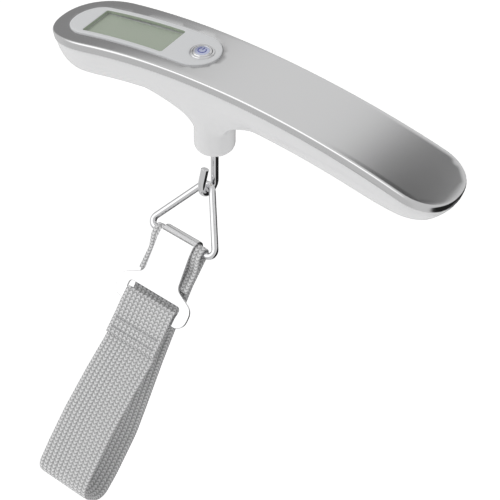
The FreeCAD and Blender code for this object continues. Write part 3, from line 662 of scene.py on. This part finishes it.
@dataclass(frozen=True)
class Cover:
    """The pan of brushed steel over the grip."""

    form: GripForm
    pill: Pill
    sheet: float = 0.8
    rim: float = 3.0
    edge: float = 0.8
    lap: float = 0.12

    def build(self) -> None:
        """Makes the cover."""
        shell = Shell()
        angles = [*turns(6, math.pi / 2), math.pi / 2]
        outer = [(-self.edge * (1 - math.sin(t)), self.edge * (1 - math.cos(t))) for t in angles]
        outer += [(0.0, 2.0), (0.0, self.rim - 0.16), (-0.05, self.rim - 0.04), (-0.16, self.rim)]
        outer += [(-self.sheet + 0.1, self.rim), (-self.sheet, self.rim - 0.1), (-self.sheet, 1.3)]
        outer += [(-self.sheet - 0.15, 0.95), (-self.sheet - 0.5, self.sheet)]
        opening = [(self.lap + 0.14, 0.0), (self.lap + 0.04, 0.04), (self.lap, 0.14), (self.lap, self.sheet)]
        plate(shell, [lambda g: self.form.outline(-g), self.pill.outline], [outer, opening], 1.9,
              lambda s, y, d: self.form.on(s, y, d))
        show("steel_cover", shell.mesh(), STEEL, "grip", "cover_steel", "top_cover")


@dataclass(frozen=True)
class Housing:
    """The white moulded shell below the cover, with the neck drawn smoothly out of its floor."""

    form: GripForm
    setback: float = 0.4
    wall: float = 1.5
    depth: float = 14.4
    belly: float = 2.3
    seam: float = 3.12
    inner_seam: float = 2.5
    display_tuck: float = 14.0
    plain_tuck: float = 39.0
    tuck_power: float = 3.5
    plain_fade: float = 0.65
    nose: float = 6.0
    lip: tuple[float, float, float] = (1.0, 1.7, 1.3)
    door_half: float = 8.75
    rim_columns: int = 14
    floor_columns: int = 18
    neck_columns: int = 6
    neck_rows: int = 20
    neck_radius: float = 7.0
    neck_top: float = -28.0
    neck_end: float = -37.0
    neck_round: float = 2.8
    bore: float = 4.6
    bore_foot: float = -32.5
    bore_top: float = -17.6
    throat: float = 3.06
    pull_out: tuple[float, float] = (22.0, 9.0)
    pull_down: tuple[float, float] = (19.0, 7.0)

    def deep(self, s: float, inset: float) -> float:
        """The shell's depth below its seam at s."""
        display = self.form.share(s + self.form.display_reach - inset, self.display_tuck, 2.0)
        left = max(0.0, self.form.plain_reach - inset - s)
        fade = max(0.0, 1 - left / self.plain_tuck)
        plain = (1 - self.plain_fade * fade ** self.tuck_power) * self.form.share(left, self.nose, 2.0)
        return max(0.8, (self.depth - inset) * display * plain)

    def section(self, station: tuple[int, float], inset: float, seam: float) -> list[Vector]:
        """Draws one section of the shell.

        Args:
            station: where it stands.
            inset: how far it is moved in from the outer skin.
            seam: the depth of its rim.

        Returns:
            Its points, from the rim at +Y under the floor to the rim at -Y.
        """
        back = self.setback + inset
        s = self.form.along(station, back)
        half, depth = self.form.half(s, back), self.deep(s, inset)
        power = 2 / self.belly
        edge = math.acos(min(self.door_half / max(half, 1e-6), 0.87) ** (1 / power))
        rim = turns(self.rim_columns, edge)
        floor = [edge + t for t in turns(self.floor_columns, math.pi - 2 * edge)]
        found = []
        for turn in rim + floor + [math.pi - edge + t for t in (*rim, edge)]:
            across = math.copysign(abs(math.cos(turn)) ** power, math.cos(turn)) * half
            found.append(self.form.on(s, across, seam + abs(math.sin(turn)) ** power * depth))
        return found

    @staticmethod
    def border(rows: Sequence[Sequence[int]], i0: int, i1: int, j0: int, j1: int) -> list[int]:
        """The indices round a patch of the grid."""
        loop = [rows[i][j0] for i in range(i0, i1 + 1)] + [rows[i1][j] for j in range(j0 + 1, j1 + 1)]
        back = [rows[i][j1] for i in range(i1 - 1, i0 - 1, -1)]
        return loop + back + [rows[i0][j] for j in range(j1 - 1, j0, -1)]

    def drawn(
        self, shell: Shell, loop: Sequence[int], circle: Sequence[Vector], out: Flat, down: Flat
    ) -> list[list[int]]:
        """Draws the skin from an opening down to a circle.

        Args:
            shell: where the points go.
            loop: the opening's rim, as indices.
            circle: the points to arrive at, one for each of the rim's.
            out: how far the rows keep to the skin, lengthwise and crosswise.
            down: how far they run upright into the circle, lengthwise and crosswise.

        Returns:
            The rows of indices, the rim first.
        """
        rows, lines = [list(loop)], []
        for index, stop in zip(loop, circle):
            start = shell.points[index]
            skin = self.skin_normal(start)
            toward = stop - start
            toward = (toward - skin * toward.dot(skin)).normalized()
            share = (stop.x / math.hypot(stop.x, stop.y)) ** 2
            pull = toward * (out[0] * share + out[1] * (1 - share))
            drop = Vector((0, 0, -(down[0] * share + down[1] * (1 - share))))
            lines.append((start, pull, stop, drop))
        for step in range(1, self.neck_rows + 1):
            t = step / self.neck_rows
            a, b = 2 * t ** 3 - 3 * t ** 2 + 1, t ** 3 - 2 * t ** 2 + t
            c, d = 3 * t ** 2 - 2 * t ** 3, t ** 3 - t ** 2
            rows.append(shell.ring([p * a + u * b + q * c + v * d for p, u, q, v in lines]))
        return rows

    def skin_normal(self, point: Vector) -> Vector:
        """The outward direction of the shell's straight part beside the neck."""
        half = self.form.half(point.x, self.setback)
        drop = max(0.01, -point.z - self.seam)
        across = self.belly * (abs(point.y) / half) ** (self.belly - 1) / half
        under = self.belly * (drop / self.depth) ** (self.belly - 1) / self.depth
        lean = -under * point.x / self.form.plain_arch
        return Vector((lean, math.copysign(across, point.y), -under)).normalized()

    def build(self) -> None:
        """Makes the housing as one closed shell: outer skin, neck, lip, inner skin and the battery opening."""
        shell = Shell()
        form, stations = self.form, self.form.stations()
        outer = [shell.ring(self.section(at, 0.0, self.seam)) for at in stations]
        inner = [shell.ring(self.section(at, self.wall, self.inner_seam)) for at in stations]
        first = sum(form.steps[:1]) + form.end_steps[0]
        neck = (first, first + form.steps[1], self.neck_columns, len(outer[0]) - 1 - self.neck_columns)
        door_from = first + form.steps[1] + form.steps[2]
        door = (door_from, door_from + form.steps[3] + 1, self.rim_columns, self.rim_columns + self.floor_columns)
        for rows in (outer, inner):
            for i in range(len(rows) - 1):
                for j in range(len(rows[0]) - 1):
                    if not any(a <= i < b and c <= j < d for a, b, c, d in (neck, door)):
                        shell.faces.append((rows[i][j], rows[i][j + 1], rows[i + 1][j + 1], rows[i + 1][j]))
        shell.bridge(self.border(outer, *door), self.border(inner, *door))
        self.build_neck(shell, self.border(outer, *neck), self.border(inner, *neck))
        last = len(outer[0]) - 1
        rims = [[rows[i][last] for i in range(len(rows))] + [rows[i][0] for i in range(len(rows) - 2, 0, -1)]
                for rows in (outer, inner)]
        near, far, top = self.lip
        ledge = [(near, self.seam), (near, top + 0.2), (near + 0.2, top), (far - 0.2, top), (far, top + 0.2)]
        steps = [shell.ring([form.on(s, y, drop) for s, y in form.outline(inset)]) for inset, drop in ledge]
        shell.chain([rims[0], *steps, rims[1]])
        show("white_housing", shell.mesh(), WHITE, "grip", "white_shell", "lower_housing")

    def build_neck(self, shell: Shell, outer: Sequence[int], inner: Sequence[int]) -> None:
        """Joins the outer skin's opening down the neck and up its bore to the inner skin's opening.

        Args:
            shell: where the neck goes.
            outer: the outer skin's opening, as indices.
            inner: the inner skin's.
        """
        angles = [math.atan2(shell.points[k].y * 1.25, shell.points[k].x) for k in outer]

        def circle(radius: float, height: float) -> list[Vector]:
            """Points on a circle about the neck, in line with the opening's."""
            return [Vector((radius * math.cos(t), radius * math.sin(t), height)) for t in angles]

        rows = self.drawn(shell, outer, circle(self.neck_radius, self.neck_top), self.pull_out, self.pull_down)
        shell.chain(rows)
        straight = [self.neck_top - 2.0, self.neck_top - 4.2, self.neck_end + self.neck_round]
        ends = [(self.neck_radius, height) for height in straight]
        for turn in [*turns(6, math.pi / 2)[1:], math.pi / 2]:
            ends.append((self.neck_radius - self.neck_round * (1 - math.cos(turn)),
                         self.neck_end + self.neck_round * (1 - math.sin(turn))))
        ends += [(self.throat + 0.3, self.neck_end), (self.throat, self.neck_end + 0.3), (self.throat, self.bore_foot)]
        ends += [(self.bore, self.bore_foot), (self.bore, self.bore_top)]
        column = [rows[-1]] + [shell.ring(circle(radius, height)) for radius, height in ends]
        shell.chain(column)
        inside_rows = self.drawn(shell, inner, circle(self.bore, self.bore_top), (6.0, 6.0), (0.6, 0.6))
        shell.chain(inside_rows[:-1] + [column[-1]])


@dataclass(frozen=True)
class Display:
    """The bezel with its window, and the carried-over glass behind it."""

    form: GripForm
    pill: Pill
    centre: float = -33.05
    window: Flat = (16.5, 6.95)
    corner: float = 0.7
    lens_top: float = 0.9
    lap: float = 0.92
    rise: float = 0.35
    thick: float = 1.6
    flange: float = 1.3
    button_at: float = -5.0
    collar: float = 4.2

    def build(self) -> None:
        """Makes the bezel."""
        shell = Shell()
        top = -self.rise
        edge = [(-0.42, top), (-0.2, top + 0.05), (-0.05, top + 0.17), (0.0, top + 0.34), (0.0, 0.84)]
        edge += [(self.flange, 0.86), (self.flange, self.thick)]
        sill = [(0.42, top), (0.18, top + 0.06), (0.04, top + 0.2), (0.0, top + 0.4), (0.0, self.lens_top)]
        sill += [(self.lap, self.lens_top + 0.02), (self.lap, self.thick)]
        well = [(0.2, top), (0.06, top + 0.05), (0.0, top + 0.16), (0.0, self.thick)]
        sight = pane(self.window, self.corner, (self.centre, 0.0))
        eye = [(self.button_at + self.collar * math.cos(t), self.collar * math.sin(t)) for t in turns(60)]
        loops = [self.pill.outline, lambda g: grown(sight, g), lambda g: grown(eye, g)]
        plate(shell, loops, [edge, sill, well], 1.5, lambda s, y, d: self.form.on(s, y, d))
        mesh = shell.mesh()
        show("bezel", mesh, BEZEL, "grip", "bezel_plastic", "display_bezel")
        # Painted shade: the bezel's walls inside the window take the display glass, so they show its dark colour and
        # painted shade instead of the bezel's white.
        mesh.materials.append(LCD.material())
        along, across = (reach + 0.05 for reach in self.window)
        middle, arch = self.form.on(self.centre).x, self.form.display_arch
        for face in mesh.polygons:
            x, y, z = face.center / MM
            drop = arch - math.hypot(x, z + arch)
            walls = abs(x - middle) < along and abs(y) < across and drop > 0.22 - self.rise
            face.material_index = int(walls)


@dataclass(frozen=True)
class PowerButton:
    """The chrome ring and the domed button in it, with a plain power symbol."""

    form: GripForm
    at: float = -5.0
    radius: float = 3.3
    collar: float = 4.18
    collar_top: float = 0.65
    top: float = 0.9
    foot: float = -1.7
    flange: float = 4.1
    face: float = 2.55
    stroke: float = 0.17
    symbol: float = 1.35
    arc: tuple[int, int, int] = (125, 416, 10)

    def build(self) -> None:
        """Makes the ring, the button and its face, each turned from a profile, and the symbol."""
        place = self.form.seat(self.at)
        inner, outer, rim = self.radius + 0.1, self.collar, self.collar_top
        ring = [(inner, -1.6), (inner, rim - 0.12), (inner + 0.05, rim - 0.03), (inner + 0.16, rim)]
        ring += [(outer - 0.38, rim - 0.02), (outer - 0.16, rim - 0.1), (outer - 0.03, rim - 0.26)]
        ring += [(outer, rim - 0.4), (outer, -1.6), (inner, -1.6)]
        top, wide, face = self.top, self.radius, self.face
        cap = [(0, self.foot - 0.5), (self.flange, self.foot - 0.5), (self.flange, self.foot), (wide, self.foot)]
        cap += [(wide, top - 0.4), (wide - 0.08, top - 0.2), (wide - 0.26, top - 0.05), (wide - 0.5, top)]
        cap += [(face + 0.06, top), (face, top - 0.07), (face - 0.4, top - 0.1), (0, top - 0.16)]
        crown = [(0, top - 0.2), (face - 0.06, top - 0.14), (face - 0.06, top - 0.03), (face - 0.5, top + 0.02)]
        crown += [(face / 2, top + 0.07), (0, top + 0.09)]
        for name, profile, finish, body, *nodes in (
            ("button_ring", ring, CHROME, "grip", "button_collar"),
            ("button_cap", cap, CHROME, "button", "power_button"),
            ("button_face", crown, PALE_BLUE, "button"),
        ):
            shell = Shell()
            spin(shell, profile, place)
            show(name, shell.mesh(), finish, body, "chrome", *nodes)
        self.build_symbol(place)

    def build_symbol(self, place: Place) -> None:
        """Makes the symbol: an open ring of thread-like relief, and an upright bar through its gap."""
        mark = Shell()
        height = self.top + 0.04
        angles = [math.radians(a) for a in range(*self.arc)]
        arc = [place(self.symbol * math.cos(t), self.symbol * math.sin(t), height) for t in angles]
        bar = [place(0, self.symbol * k / 6, height) for k in range(1, 8)]
        upright = (place(0, 0, 1) - place(0, 0, 0)).normalized()
        for path in (arc, bar):
            rod(mark, path, [self.stroke] * len(path), upright, False, 14)
        show("power_symbol", mark.mesh(), BLUE, "button", "chrome")


# --- hook, ring, buckle and strap ---
@dataclass(frozen=True)
class Hanging:
    """How the ring and strap hang from the hook: swung forwards, and turned with the hook about the neck."""

    swing: float = 41.3
    turn: float = -6.0
    apex: tuple[float, float, float] = (0.0, -3.25, -51.2)
    ring_height: float = 21.5

    def turned(self, point: Vector) -> Vector:
        """A point turned with the hook."""
        return Matrix.Rotation(math.radians(self.turn), 3, "Z") @ point

    def place(self, x: float, back: float, down: float) -> Vector:
        """The point x across, back of the ring's plane, and down from the ring's bar."""
        local = Vector((x, back, -self.ring_height - down))
        return self.turned(Matrix.Rotation(math.radians(-self.swing), 3, "X") @ local + Vector(self.apex))

    def facing(self, x: float, back: float, down: float) -> Vector:
        """The same for a direction."""
        return self.place(x, back, down) - self.place(0, 0, 0)


@dataclass(frozen=True)
class Hook:
    """The wire hook, its cut tip chamfered."""

    hanging: Hanging
    wire: float = 1.35
    bowl: float = 3.25
    top: float = -5.2
    centre: float = -50.9
    tip: Flat = (-4.9, -43.3)

    def build(self) -> None:
        """Makes the hook."""
        foot = self.centre - self.bowl
        corners = [(0, self.top), (0, foot), (-2 * self.bowl, foot), (-2 * self.bowl, self.centre + 2.4), self.tip]
        path = rounded(corners, (self.bowl - 0.001, self.bowl - 0.001, 7.0), 0.5)
        line = [self.hanging.turned(Vector((0, y, z))) for y, z in path]
        end = line[-1] - (line[-1] - line[-2]).normalized() * 0.22
        line[-1:] = [end, line[-1]]
        radii = [self.wire] * (len(line) - 1) + [self.wire - 0.22]
        shell = Shell()
        rod(shell, line, radii, self.hanging.turned(Vector((1, 0, 0))), False, 36)
        show("wire_hook", shell.mesh(), CHROME, "hook", "chrome", "hook")


@dataclass(frozen=True)
class Ring:
    """The triangular ring of round wire."""

    hanging: Hanging
    wire: float = 1.2
    half: float = 15.65
    apex_bend: float = 3.0
    corner_bend: float = 2.2

    def build(self) -> None:
        """Makes the ring: the apex is lifted until its bend just touches the ring's height."""
        height, lift = self.hanging.ring_height, 0.0
        for _ in range(20):
            lift = self.apex_bend * (1 / math.sin(math.atan2(self.half, height + lift)) - 1)
        corners = [(0, 0), (-self.half, 0), (0, -height - lift), (self.half, 0), (0, 0)]
        path = rounded(corners, (self.corner_bend, self.apex_bend, self.corner_bend), 0.6)[:-1]
        line = [self.hanging.place(x, 0, down) for x, down in path]
        shell = Shell()
        rod(shell, line, [self.wire] * len(line), self.hanging.facing(0, 1, 0), True, 32)
        show("wire_ring", shell.mesh(), CHROME, "ring", "chrome", "triangle_ring")


@dataclass(frozen=True)
class Buckle:
    """The pressed plate: rolled over the ring's bar and creased below it, with two ears and a slot."""

    hanging: Hanging
    sheet: float = 0.8
    roll: float = 2.8
    crease: float = 2.6
    flat: float = 18.8
    end: float = 27.1
    shoulder: float = 15.1
    halves: tuple[float, float, float] = (7.2, 7.8, 16.0)
    flank: Flat = (19.1, 16.0)
    slot: tuple[float, float, float] = (11.5, 20.1, 23.5)

    def build(self) -> None:
        """Makes the buckle."""
        roll = self.roll
        profile = [(roll, 1.0), (roll, -roll), (-roll, -roll), (-roll, self.crease), (0, self.flat), (0, self.end)]
        run = Run(rounded(profile, (roll - 0.001, roll - 0.001, 2.0, 8.0), 0.3))
        marks = np.linspace(0, run.length, 400)
        downs = np.array([run.at(m)[1] for m in marks])
        front = marks > roll * math.pi
        neck, waist, ear = self.halves

        def reach(down: float) -> float:
            """How far along the blank a height on the front lies."""
            return float(np.interp(down, downs[front], marks[front]))

        def half(down: float) -> float:
            """Half the plate's width at a height above its shoulders."""
            return neck + (waist - neck) * (down + 8.0) / (self.shoulder + 8.0)

        start = reach(self.crease)
        steps = 34
        right = [(start * k / steps, half(run.at(start * k / steps)[1])) for k in range(steps)]
        corners = [(self.crease, half(self.crease)), (self.shoulder, waist), (self.flank[0], ear), (self.end, ear),
                   (self.end, 0)]
        right += [(reach(down), x) for down, x in rounded(corners, (2.6, 4.2, 4.0), 0.6)]
        left = [(m, -x) for m, x in right[-2::-1]]
        close = [(0.0, -right[0][1] + 2 * right[0][1] * k / 24) for k in range(1, 24)]
        outline = (right + left + close)[::-1]
        wide, top, foot = self.slot
        hole = pane(((foot - top) / 2, wide), 1.2, ((top + foot) / 2, 0.0), 0.6)
        hole = [(reach(down), x) for down, x in hole]
        soft = [(-0.2, 0.0), (-0.08, 0.04), (-0.02, 0.11), (0.0, 0.21)]
        edge = soft + [(move, self.sheet - depth) for move, depth in reversed(soft)]
        bore = [(-move, depth) for move, depth in edge]

        def put(mark: float, x: float, depth: float) -> Vector:
            """Where a point of the flat blank stands once the sheet is bent."""
            back, down = run.at(mark)
            out = run.side(mark, 0.3)
            rise = self.sheet / 2 - depth
            return self.hanging.place(x, back + out[0] * rise, down + out[1] * rise)

        shell = Shell()
        plate(shell, [lambda g: grown(outline, g), lambda g: grown(hole, g)], [edge, bore], 0.62, put)
        show("pressed_buckle", shell.mesh(), BRIGHT, "strap_loop", "bright_steel", "buckle_plate")


@dataclass(frozen=True)
class Strap:
    """The webbing loop: sewn round the ring's bar, down the back, up the front, through the slot and sewn."""

    hanging: Hanging
    half: float = 11.0
    thick: float = 1.0
    ribs: int = 13
    per_rib: int = 5
    pitch: float = 0.42
    pick: float = 1.25
    groove: float = 0.17
    pick_depth: float = 0.09
    route: tuple[tuple[float, float, float], ...] = (
        (0.65, 15.0, 0.0), (0.65, 7.0, 3.0), (-1.8, 2.2, 1.6), (-1.8, -1.8, 1.8), (1.8, -1.8, 1.8), (1.8, 12.0, 20.0),
        (3.35, 24.0, 40.0), (5.8, 40.0, 60.0), (9.2, 57.0, 60.0), (11.2, 68.0, 30.0), (11.2, 84.0, 30.0),
        (10.0, 94.1, 4.6), (-2.6, 94.1, 4.6), (-3.2, 82.0, 20.0), (-3.2, 70.0, 40.0), (-1.6, 54.0, 50.0),
        (0.4, 40.9, 30.0), (0.4, 32.4, 6.0), (1.0, 28.1, 6.0), (1.0, 22.6, 1.0), (-1.0, 22.6, 1.0), (-1.0, 28.1, 6.0),
        (-0.75, 32.4, 6.0), (-0.75, 39.9, 0.0),
    )

    def columns(self) -> list[float]:
        """Where the section's points stand across the strap."""
        body = self.half - 0.35
        count = self.ribs * self.per_rib
        inner = [-body + 2 * body * k / count for k in range(count + 1)]
        edge = (body + 0.16, body + 0.28, body + 0.335)
        return [-x for x in reversed(edge)] + inner + list(edge)

    def level(self, x: float, along: float) -> float:
        """Gives the weave its relief: ribs along the strap, picks slanting over each, and a rounded selvedge.

        Args:
            x: the place across the strap.
            along: the place along it.

        Returns:
            Half the thickness there.
        """
        rib = 2 * self.half / self.ribs
        fold = abs((x / rib) % 1.0 - 0.5) * rib
        valley = 1 - abs(math.cos(math.pi * fold / rib)) ** 0.8
        slant = math.sin(2 * math.pi * (along + 0.9 * fold) / self.pick)
        round_off = math.sqrt(max(0.0, 1 - (abs(x) / self.half) ** 26))
        return (self.thick / 2 - self.groove * valley - self.pick_depth * (0.5 - 0.5 * slant)) * round_off

    def build(self) -> None:
        """Makes the strap as one closed band and logs its cut length."""
        corners = [(back, down) for back, down, _ in self.route]
        run = Run(rounded(corners, [radius - 0.001 for _, _, radius in self.route[1:-1]], 0.2))
        rows, columns = round(run.length / self.pitch), self.columns()
        shell = Shell()
        rings = []
        for i in range(rows + 1):
            mark = run.length * i / rows
            back, down = run.at(mark)
            out = run.side(mark, 0.3)
            section = [(x, side) for side in (1, -1) for x in (columns if side > 0 else reversed(columns))]
            points = []
            for x, side in section:
                rise = side * self.level(x, mark + (0.6 if side < 0 else 0.0))
                points.append(self.hanging.place(x, back + out[0] * rise, down + out[1] * rise))
            ring = shell.ring(points)
            shell.chart.update({k: (x, mark) for k, (x, _) in zip(ring, section)})
            rings.append(ring)
        shell.chain(rings)
        width = len(columns)
        for ring in (rings[0], rings[-1]):
            low = ring[:width - 1:-1]
            shell.bridge(ring[:width], low, False)
        piece = show("webbing_loop", shell.mesh(), WEB, "strap_loop", "webbing_grey", "strap")
        LOG.info("webbing cut length %.1f mm", run.length)


@dataclass(frozen=True)
class Stitches:
    """Rows of lock stitches across the strap, made with geometry nodes."""

    hanging: Hanging
    rows: tuple[tuple[float, float, float], ...] = ((-1.2, 33.8, 0.0), (-1.2, 37.4, 0.0), (2.3, 9.6, 180.0))
    half: float = 10.0
    count: int = 8
    length: float = 1.9
    thread: float = 0.2
    bow: float = 0.18

    def tree(self) -> bpy.types.NodeTree:
        """The node tree: a row of bowed threads between two points."""
        group = bpy.data.node_groups.new("stitch_row", "GeometryNodeTree")
        face = group.interface
        face.new_socket("Geometry", in_out="OUTPUT", socket_type="NodeSocketGeometry")
        for name, kind in (("From", "Vector"), ("To", "Vector"), ("Turn", "Vector"), ("Count", "Int"),
                           ("Length", "Float"), ("Thread", "Float"), ("Bow", "Float"), ("Material", "Material")):
            face.new_socket(name, in_out="INPUT", socket_type=f"NodeSocket{kind}")
        tree = Tree(group)
        given = tree.add("NodeGroupInput").outputs
        line = tree.add("GeometryNodeCurvePrimitiveLine", Start=given["From"], End=given["To"])
        spots = tree.add("GeometryNodeResampleCurve", Curve=line.outputs[0], Count=given["Count"])
        reach = tree.sum("MULTIPLY", given["Length"], 0.5)
        start = tree.add("ShaderNodeCombineXYZ", X=tree.sum("MULTIPLY", reach, -1.0))
        stop = tree.add("ShaderNodeCombineXYZ", X=reach)
        crown = tree.add("ShaderNodeCombineXYZ", Z=given["Bow"])
        bend = tree.add("GeometryNodeCurveQuadraticBezier", Resolution=7, Start=start.outputs[0],
                        Middle=crown.outputs[0], End=stop.outputs[0])
        section = tree.add("GeometryNodeCurvePrimitiveCircle", Resolution=7, Radius=given["Thread"])
        thread = tree.add("GeometryNodeCurveToMesh", Curve=bend.outputs[0], Profile_Curve=section.outputs[0],
                          Fill_Caps=True)
        sown = tree.add("GeometryNodeInstanceOnPoints", Points=spots.outputs[0], Instance=thread.outputs[0],
                        Rotation=given["Turn"])
        real = tree.add("GeometryNodeRealizeInstances", Geometry=sown.outputs[0])
        dyed = tree.add("GeometryNodeSetMaterial", Geometry=real.outputs[0], Material=given["Material"])
        tree.add("NodeGroupOutput", Geometry=dyed.outputs[0])
        return group

    def build(self) -> None:
        """Makes every row, and joins them into one piece."""
        group = self.tree()
        sockets = {item.name: item.identifier for item in group.interface.items_tree if item.in_out == "INPUT"}
        work = bmesh.new()
        for back, down, flip in self.rows:
            holder = bpy.data.objects.new("row", bpy.data.meshes.new("row"))
            bpy.context.scene.collection.objects.link(holder)
            sewing = holder.modifiers.new("sewing", "NODES")
            sewing.node_group = group
            pitch = 2 * self.half / self.count
            edge = self.half - pitch / 2
            up = self.hanging.facing(0, -1 if flip == 0 else 1, 0)
            along = self.hanging.facing(1, 0, 0)
            frame_of = Matrix((along, up.cross(along), up)).transposed()
            values = {
                "From": self.hanging.place(-edge, back, down) * MM,
                "To": self.hanging.place(edge, back, down) * MM,
                "Turn": Vector(frame_of.to_euler()), "Count": self.count, "Length": self.length * MM,
                "Thread": self.thread * MM, "Bow": self.bow * MM, "Material": THREAD.material(),
            }
            for name, value in values.items():
                sewing[sockets[name]] = value
            ready = holder.evaluated_get(bpy.context.evaluated_depsgraph_get())
            made = bpy.data.meshes.new_from_object(ready)
            work.from_mesh(made)
            bpy.data.objects.remove(holder)
            bpy.data.meshes.remove(made)
        bmesh.ops.recalc_face_normals(work, faces=work.faces)
        mesh = bpy.data.meshes.new("strap_thread")
        work.to_mesh(mesh)
        work.free()
        mesh.shade_smooth()
        show("strap_thread", mesh, THREAD, "strap_loop", "thread_grey", "strap_stitching")


# --- studio ---
@dataclass(frozen=True)
class Glow:
    """A soft patch of the studio's surroundings: where it lies, how wide it is, and how bright."""

    toward: tuple[float, float, float]
    core: float
    edge: float
    level: float


@dataclass(frozen=True)
class Studio:
    """A pale floor, soft surroundings, two soft lights and the camera."""

    azimuth: float = 33.8484
    elevation: float = 41.1658
    roll: float = 0.90
    distance: float = 660.94
    lens: float = 146.753
    target: tuple[float, float, float] = (33.1066, -27.0862, -46.8168)
    floor: float = -0.42
    ambient: float = 0.70
    base: float = 0.80
    lamps: tuple[tuple[str, tuple[float, float, float], float, float], ...] = (
        ("key", (-0.8, -0.5, 0.8), 0.7, 4.2), ("fill", (0.5, 0.7, 0.9), 0.8, 0.6),
    )
    glows: tuple[Glow, ...] = (
        Glow((-0.30, 0.55, 0.78), 22, 40, 0.92),
        Glow((-0.50, -0.64, 0.58), 24, 40, 1.7),
        Glow((-0.42, -0.62, -0.66), 20, 34, 0.74),
        Glow((-0.80, 0.56, 0.20), 12, 34, 0.34),
        Glow((0.015, 0.625, 0.78), 3.5, 11, 0.03),
        Glow((-0.50, -0.20, 0.84), 3, 9, 0.2),
        Glow((0.60, 0.30, -0.40), 40, 50, 0.02),
        Glow((-0.20, 0.80, -0.56), 16, 26, 0.08),
    )

    def surroundings(self) -> None:
        """Sets the world: white to the eye, even to matt surfaces, patches of light and dark to glossy ones."""
        world = bpy.data.worlds.new("studio")
        bpy.context.scene.world = world
        world.use_nodes = True
        tree = Tree(world.node_tree)
        way = tree.add("ShaderNodeTexCoord").outputs["Generated"]
        level: object = self.base
        for glow in self.glows:
            toward = Vector(glow.toward).normalized()
            near = tree.add("ShaderNodeVectorMath", operation="DOT_PRODUCT", i0=way, i1=toward).outputs["Value"]
            mask = tree.add("ShaderNodeMapRange", Value=near, From_Min=math.cos(math.radians(glow.edge)),
                            From_Max=math.cos(math.radians(glow.core)), interpolation_type="SMOOTHSTEP").outputs[0]
            level = tree.add("ShaderNodeMix", data_type="FLOAT", i0=mask, i2=level, i3=glow.level).outputs[0]
        path = tree.add("ShaderNodeLightPath").outputs
        matt = tree.add("ShaderNodeMix", data_type="FLOAT", i0=path["Is Glossy Ray"], i2=self.ambient, i3=level)
        seen = tree.add("ShaderNodeMix", data_type="FLOAT", i0=path["Is Camera Ray"], i2=matt.outputs[0], i3=1.0)
        light = tree.add("ShaderNodeBackground", Strength=seen.outputs[0])
        tree.add("ShaderNodeOutputWorld", Surface=light.outputs[0])

    def lights(self) -> None:
        """Hangs two soft lights."""
        for name, where, size, watts in self.lamps:
            lamp = bpy.data.lights.new(name, "AREA")
            lamp.size, lamp.energy = size, watts
            holder = bpy.data.objects.new(name, lamp)
            holder.location = where
            holder.rotation_euler = (Vector((0, 0, -0.05)) - Vector(where)).to_track_quat("-Z", "Y").to_euler()
            holder.visible_glossy = False
            bpy.context.scene.collection.objects.link(holder)

    def ground(self) -> None:
        """Lays the floor."""
        reach = 12.0
        mesh = bpy.data.meshes.new("floor")
        corners = [(-reach, -reach), (reach, -reach), (reach, reach), (-reach, reach)]
        mesh.from_pydata([(x, y, self.floor) for x, y in corners], [], [range(4)])
        floor = bpy.data.objects.new("floor", mesh)
        pale = bpy.data.materials.new("pale_floor")
        pale.use_nodes = True
        tree = Tree(pale.node_tree)
        surface = tree.add("ShaderNodeBsdfPrincipled", Base_Color=(0.9, 0.9, 0.9, 1.0), Roughness=0.9,
                           Emission_Color=(1, 1, 1, 1), Emission_Strength=0.45)
        tree.add("ShaderNodeOutputMaterial", Surface=surface.outputs[0])
        mesh.materials.append(pale)
        floor.visible_glossy = False
        bpy.context.scene.collection.objects.link(floor)

    def camera(self) -> None:
        """Stands the camera."""
        a, e, r = (math.radians(v) for v in (self.azimuth, self.elevation, self.roll))
        back = Vector((math.sin(a) * math.cos(e), -math.cos(a) * math.cos(e), math.sin(e)))
        right = Vector((math.cos(a), math.sin(a), 0))
        up = back.cross(right)
        side = right * math.cos(r) + up * math.sin(r)
        head = up * math.cos(r) - right * math.sin(r)
        lens = bpy.data.cameras.new("camera")
        lens.lens, lens.sensor_width = self.lens, 36.0
        lens.clip_start, lens.clip_end = 0.01, 60.0
        holder = bpy.data.objects.new("camera", lens)
        turn = Matrix((side, head, back)).transposed().to_4x4()
        holder.matrix_world = Matrix.Translation((Vector(self.target) + back * self.distance) * MM) @ turn
        bpy.context.scene.collection.objects.link(holder)
        bpy.context.scene.camera = holder

    def build(self) -> None:
        """Sets up the whole studio."""
        self.surroundings()
        self.lights()
        self.ground()
        self.camera()
        bpy.context.scene.view_settings.view_transform = "Standard"


def dress_frame() -> None:
    """Gives every carried-over node its finish."""
    for finish, names in CARRIED.items():
        for name in names:
            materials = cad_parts[name].data.materials
            materials.clear()
            materials.append(finish.material())
            LOG.info("%s: carried over in %s", name, finish.name)


def main() -> None:
    """Builds the scale and its studio."""
    logging.basicConfig(level=logging.INFO, format="%(message)s")
    Studio().build()
    dress_frame()
    form, pill, hanging = GripForm(), Pill(), Hanging()
    for part in (Cover(form, pill), Housing(form), Display(form, pill), PowerButton(form), Hook(hanging),
                 Ring(hanging), Buckle(hanging), Stitches(hanging), Strap(hanging)):
        part.build()


if __name__ == "__main__":
    main()
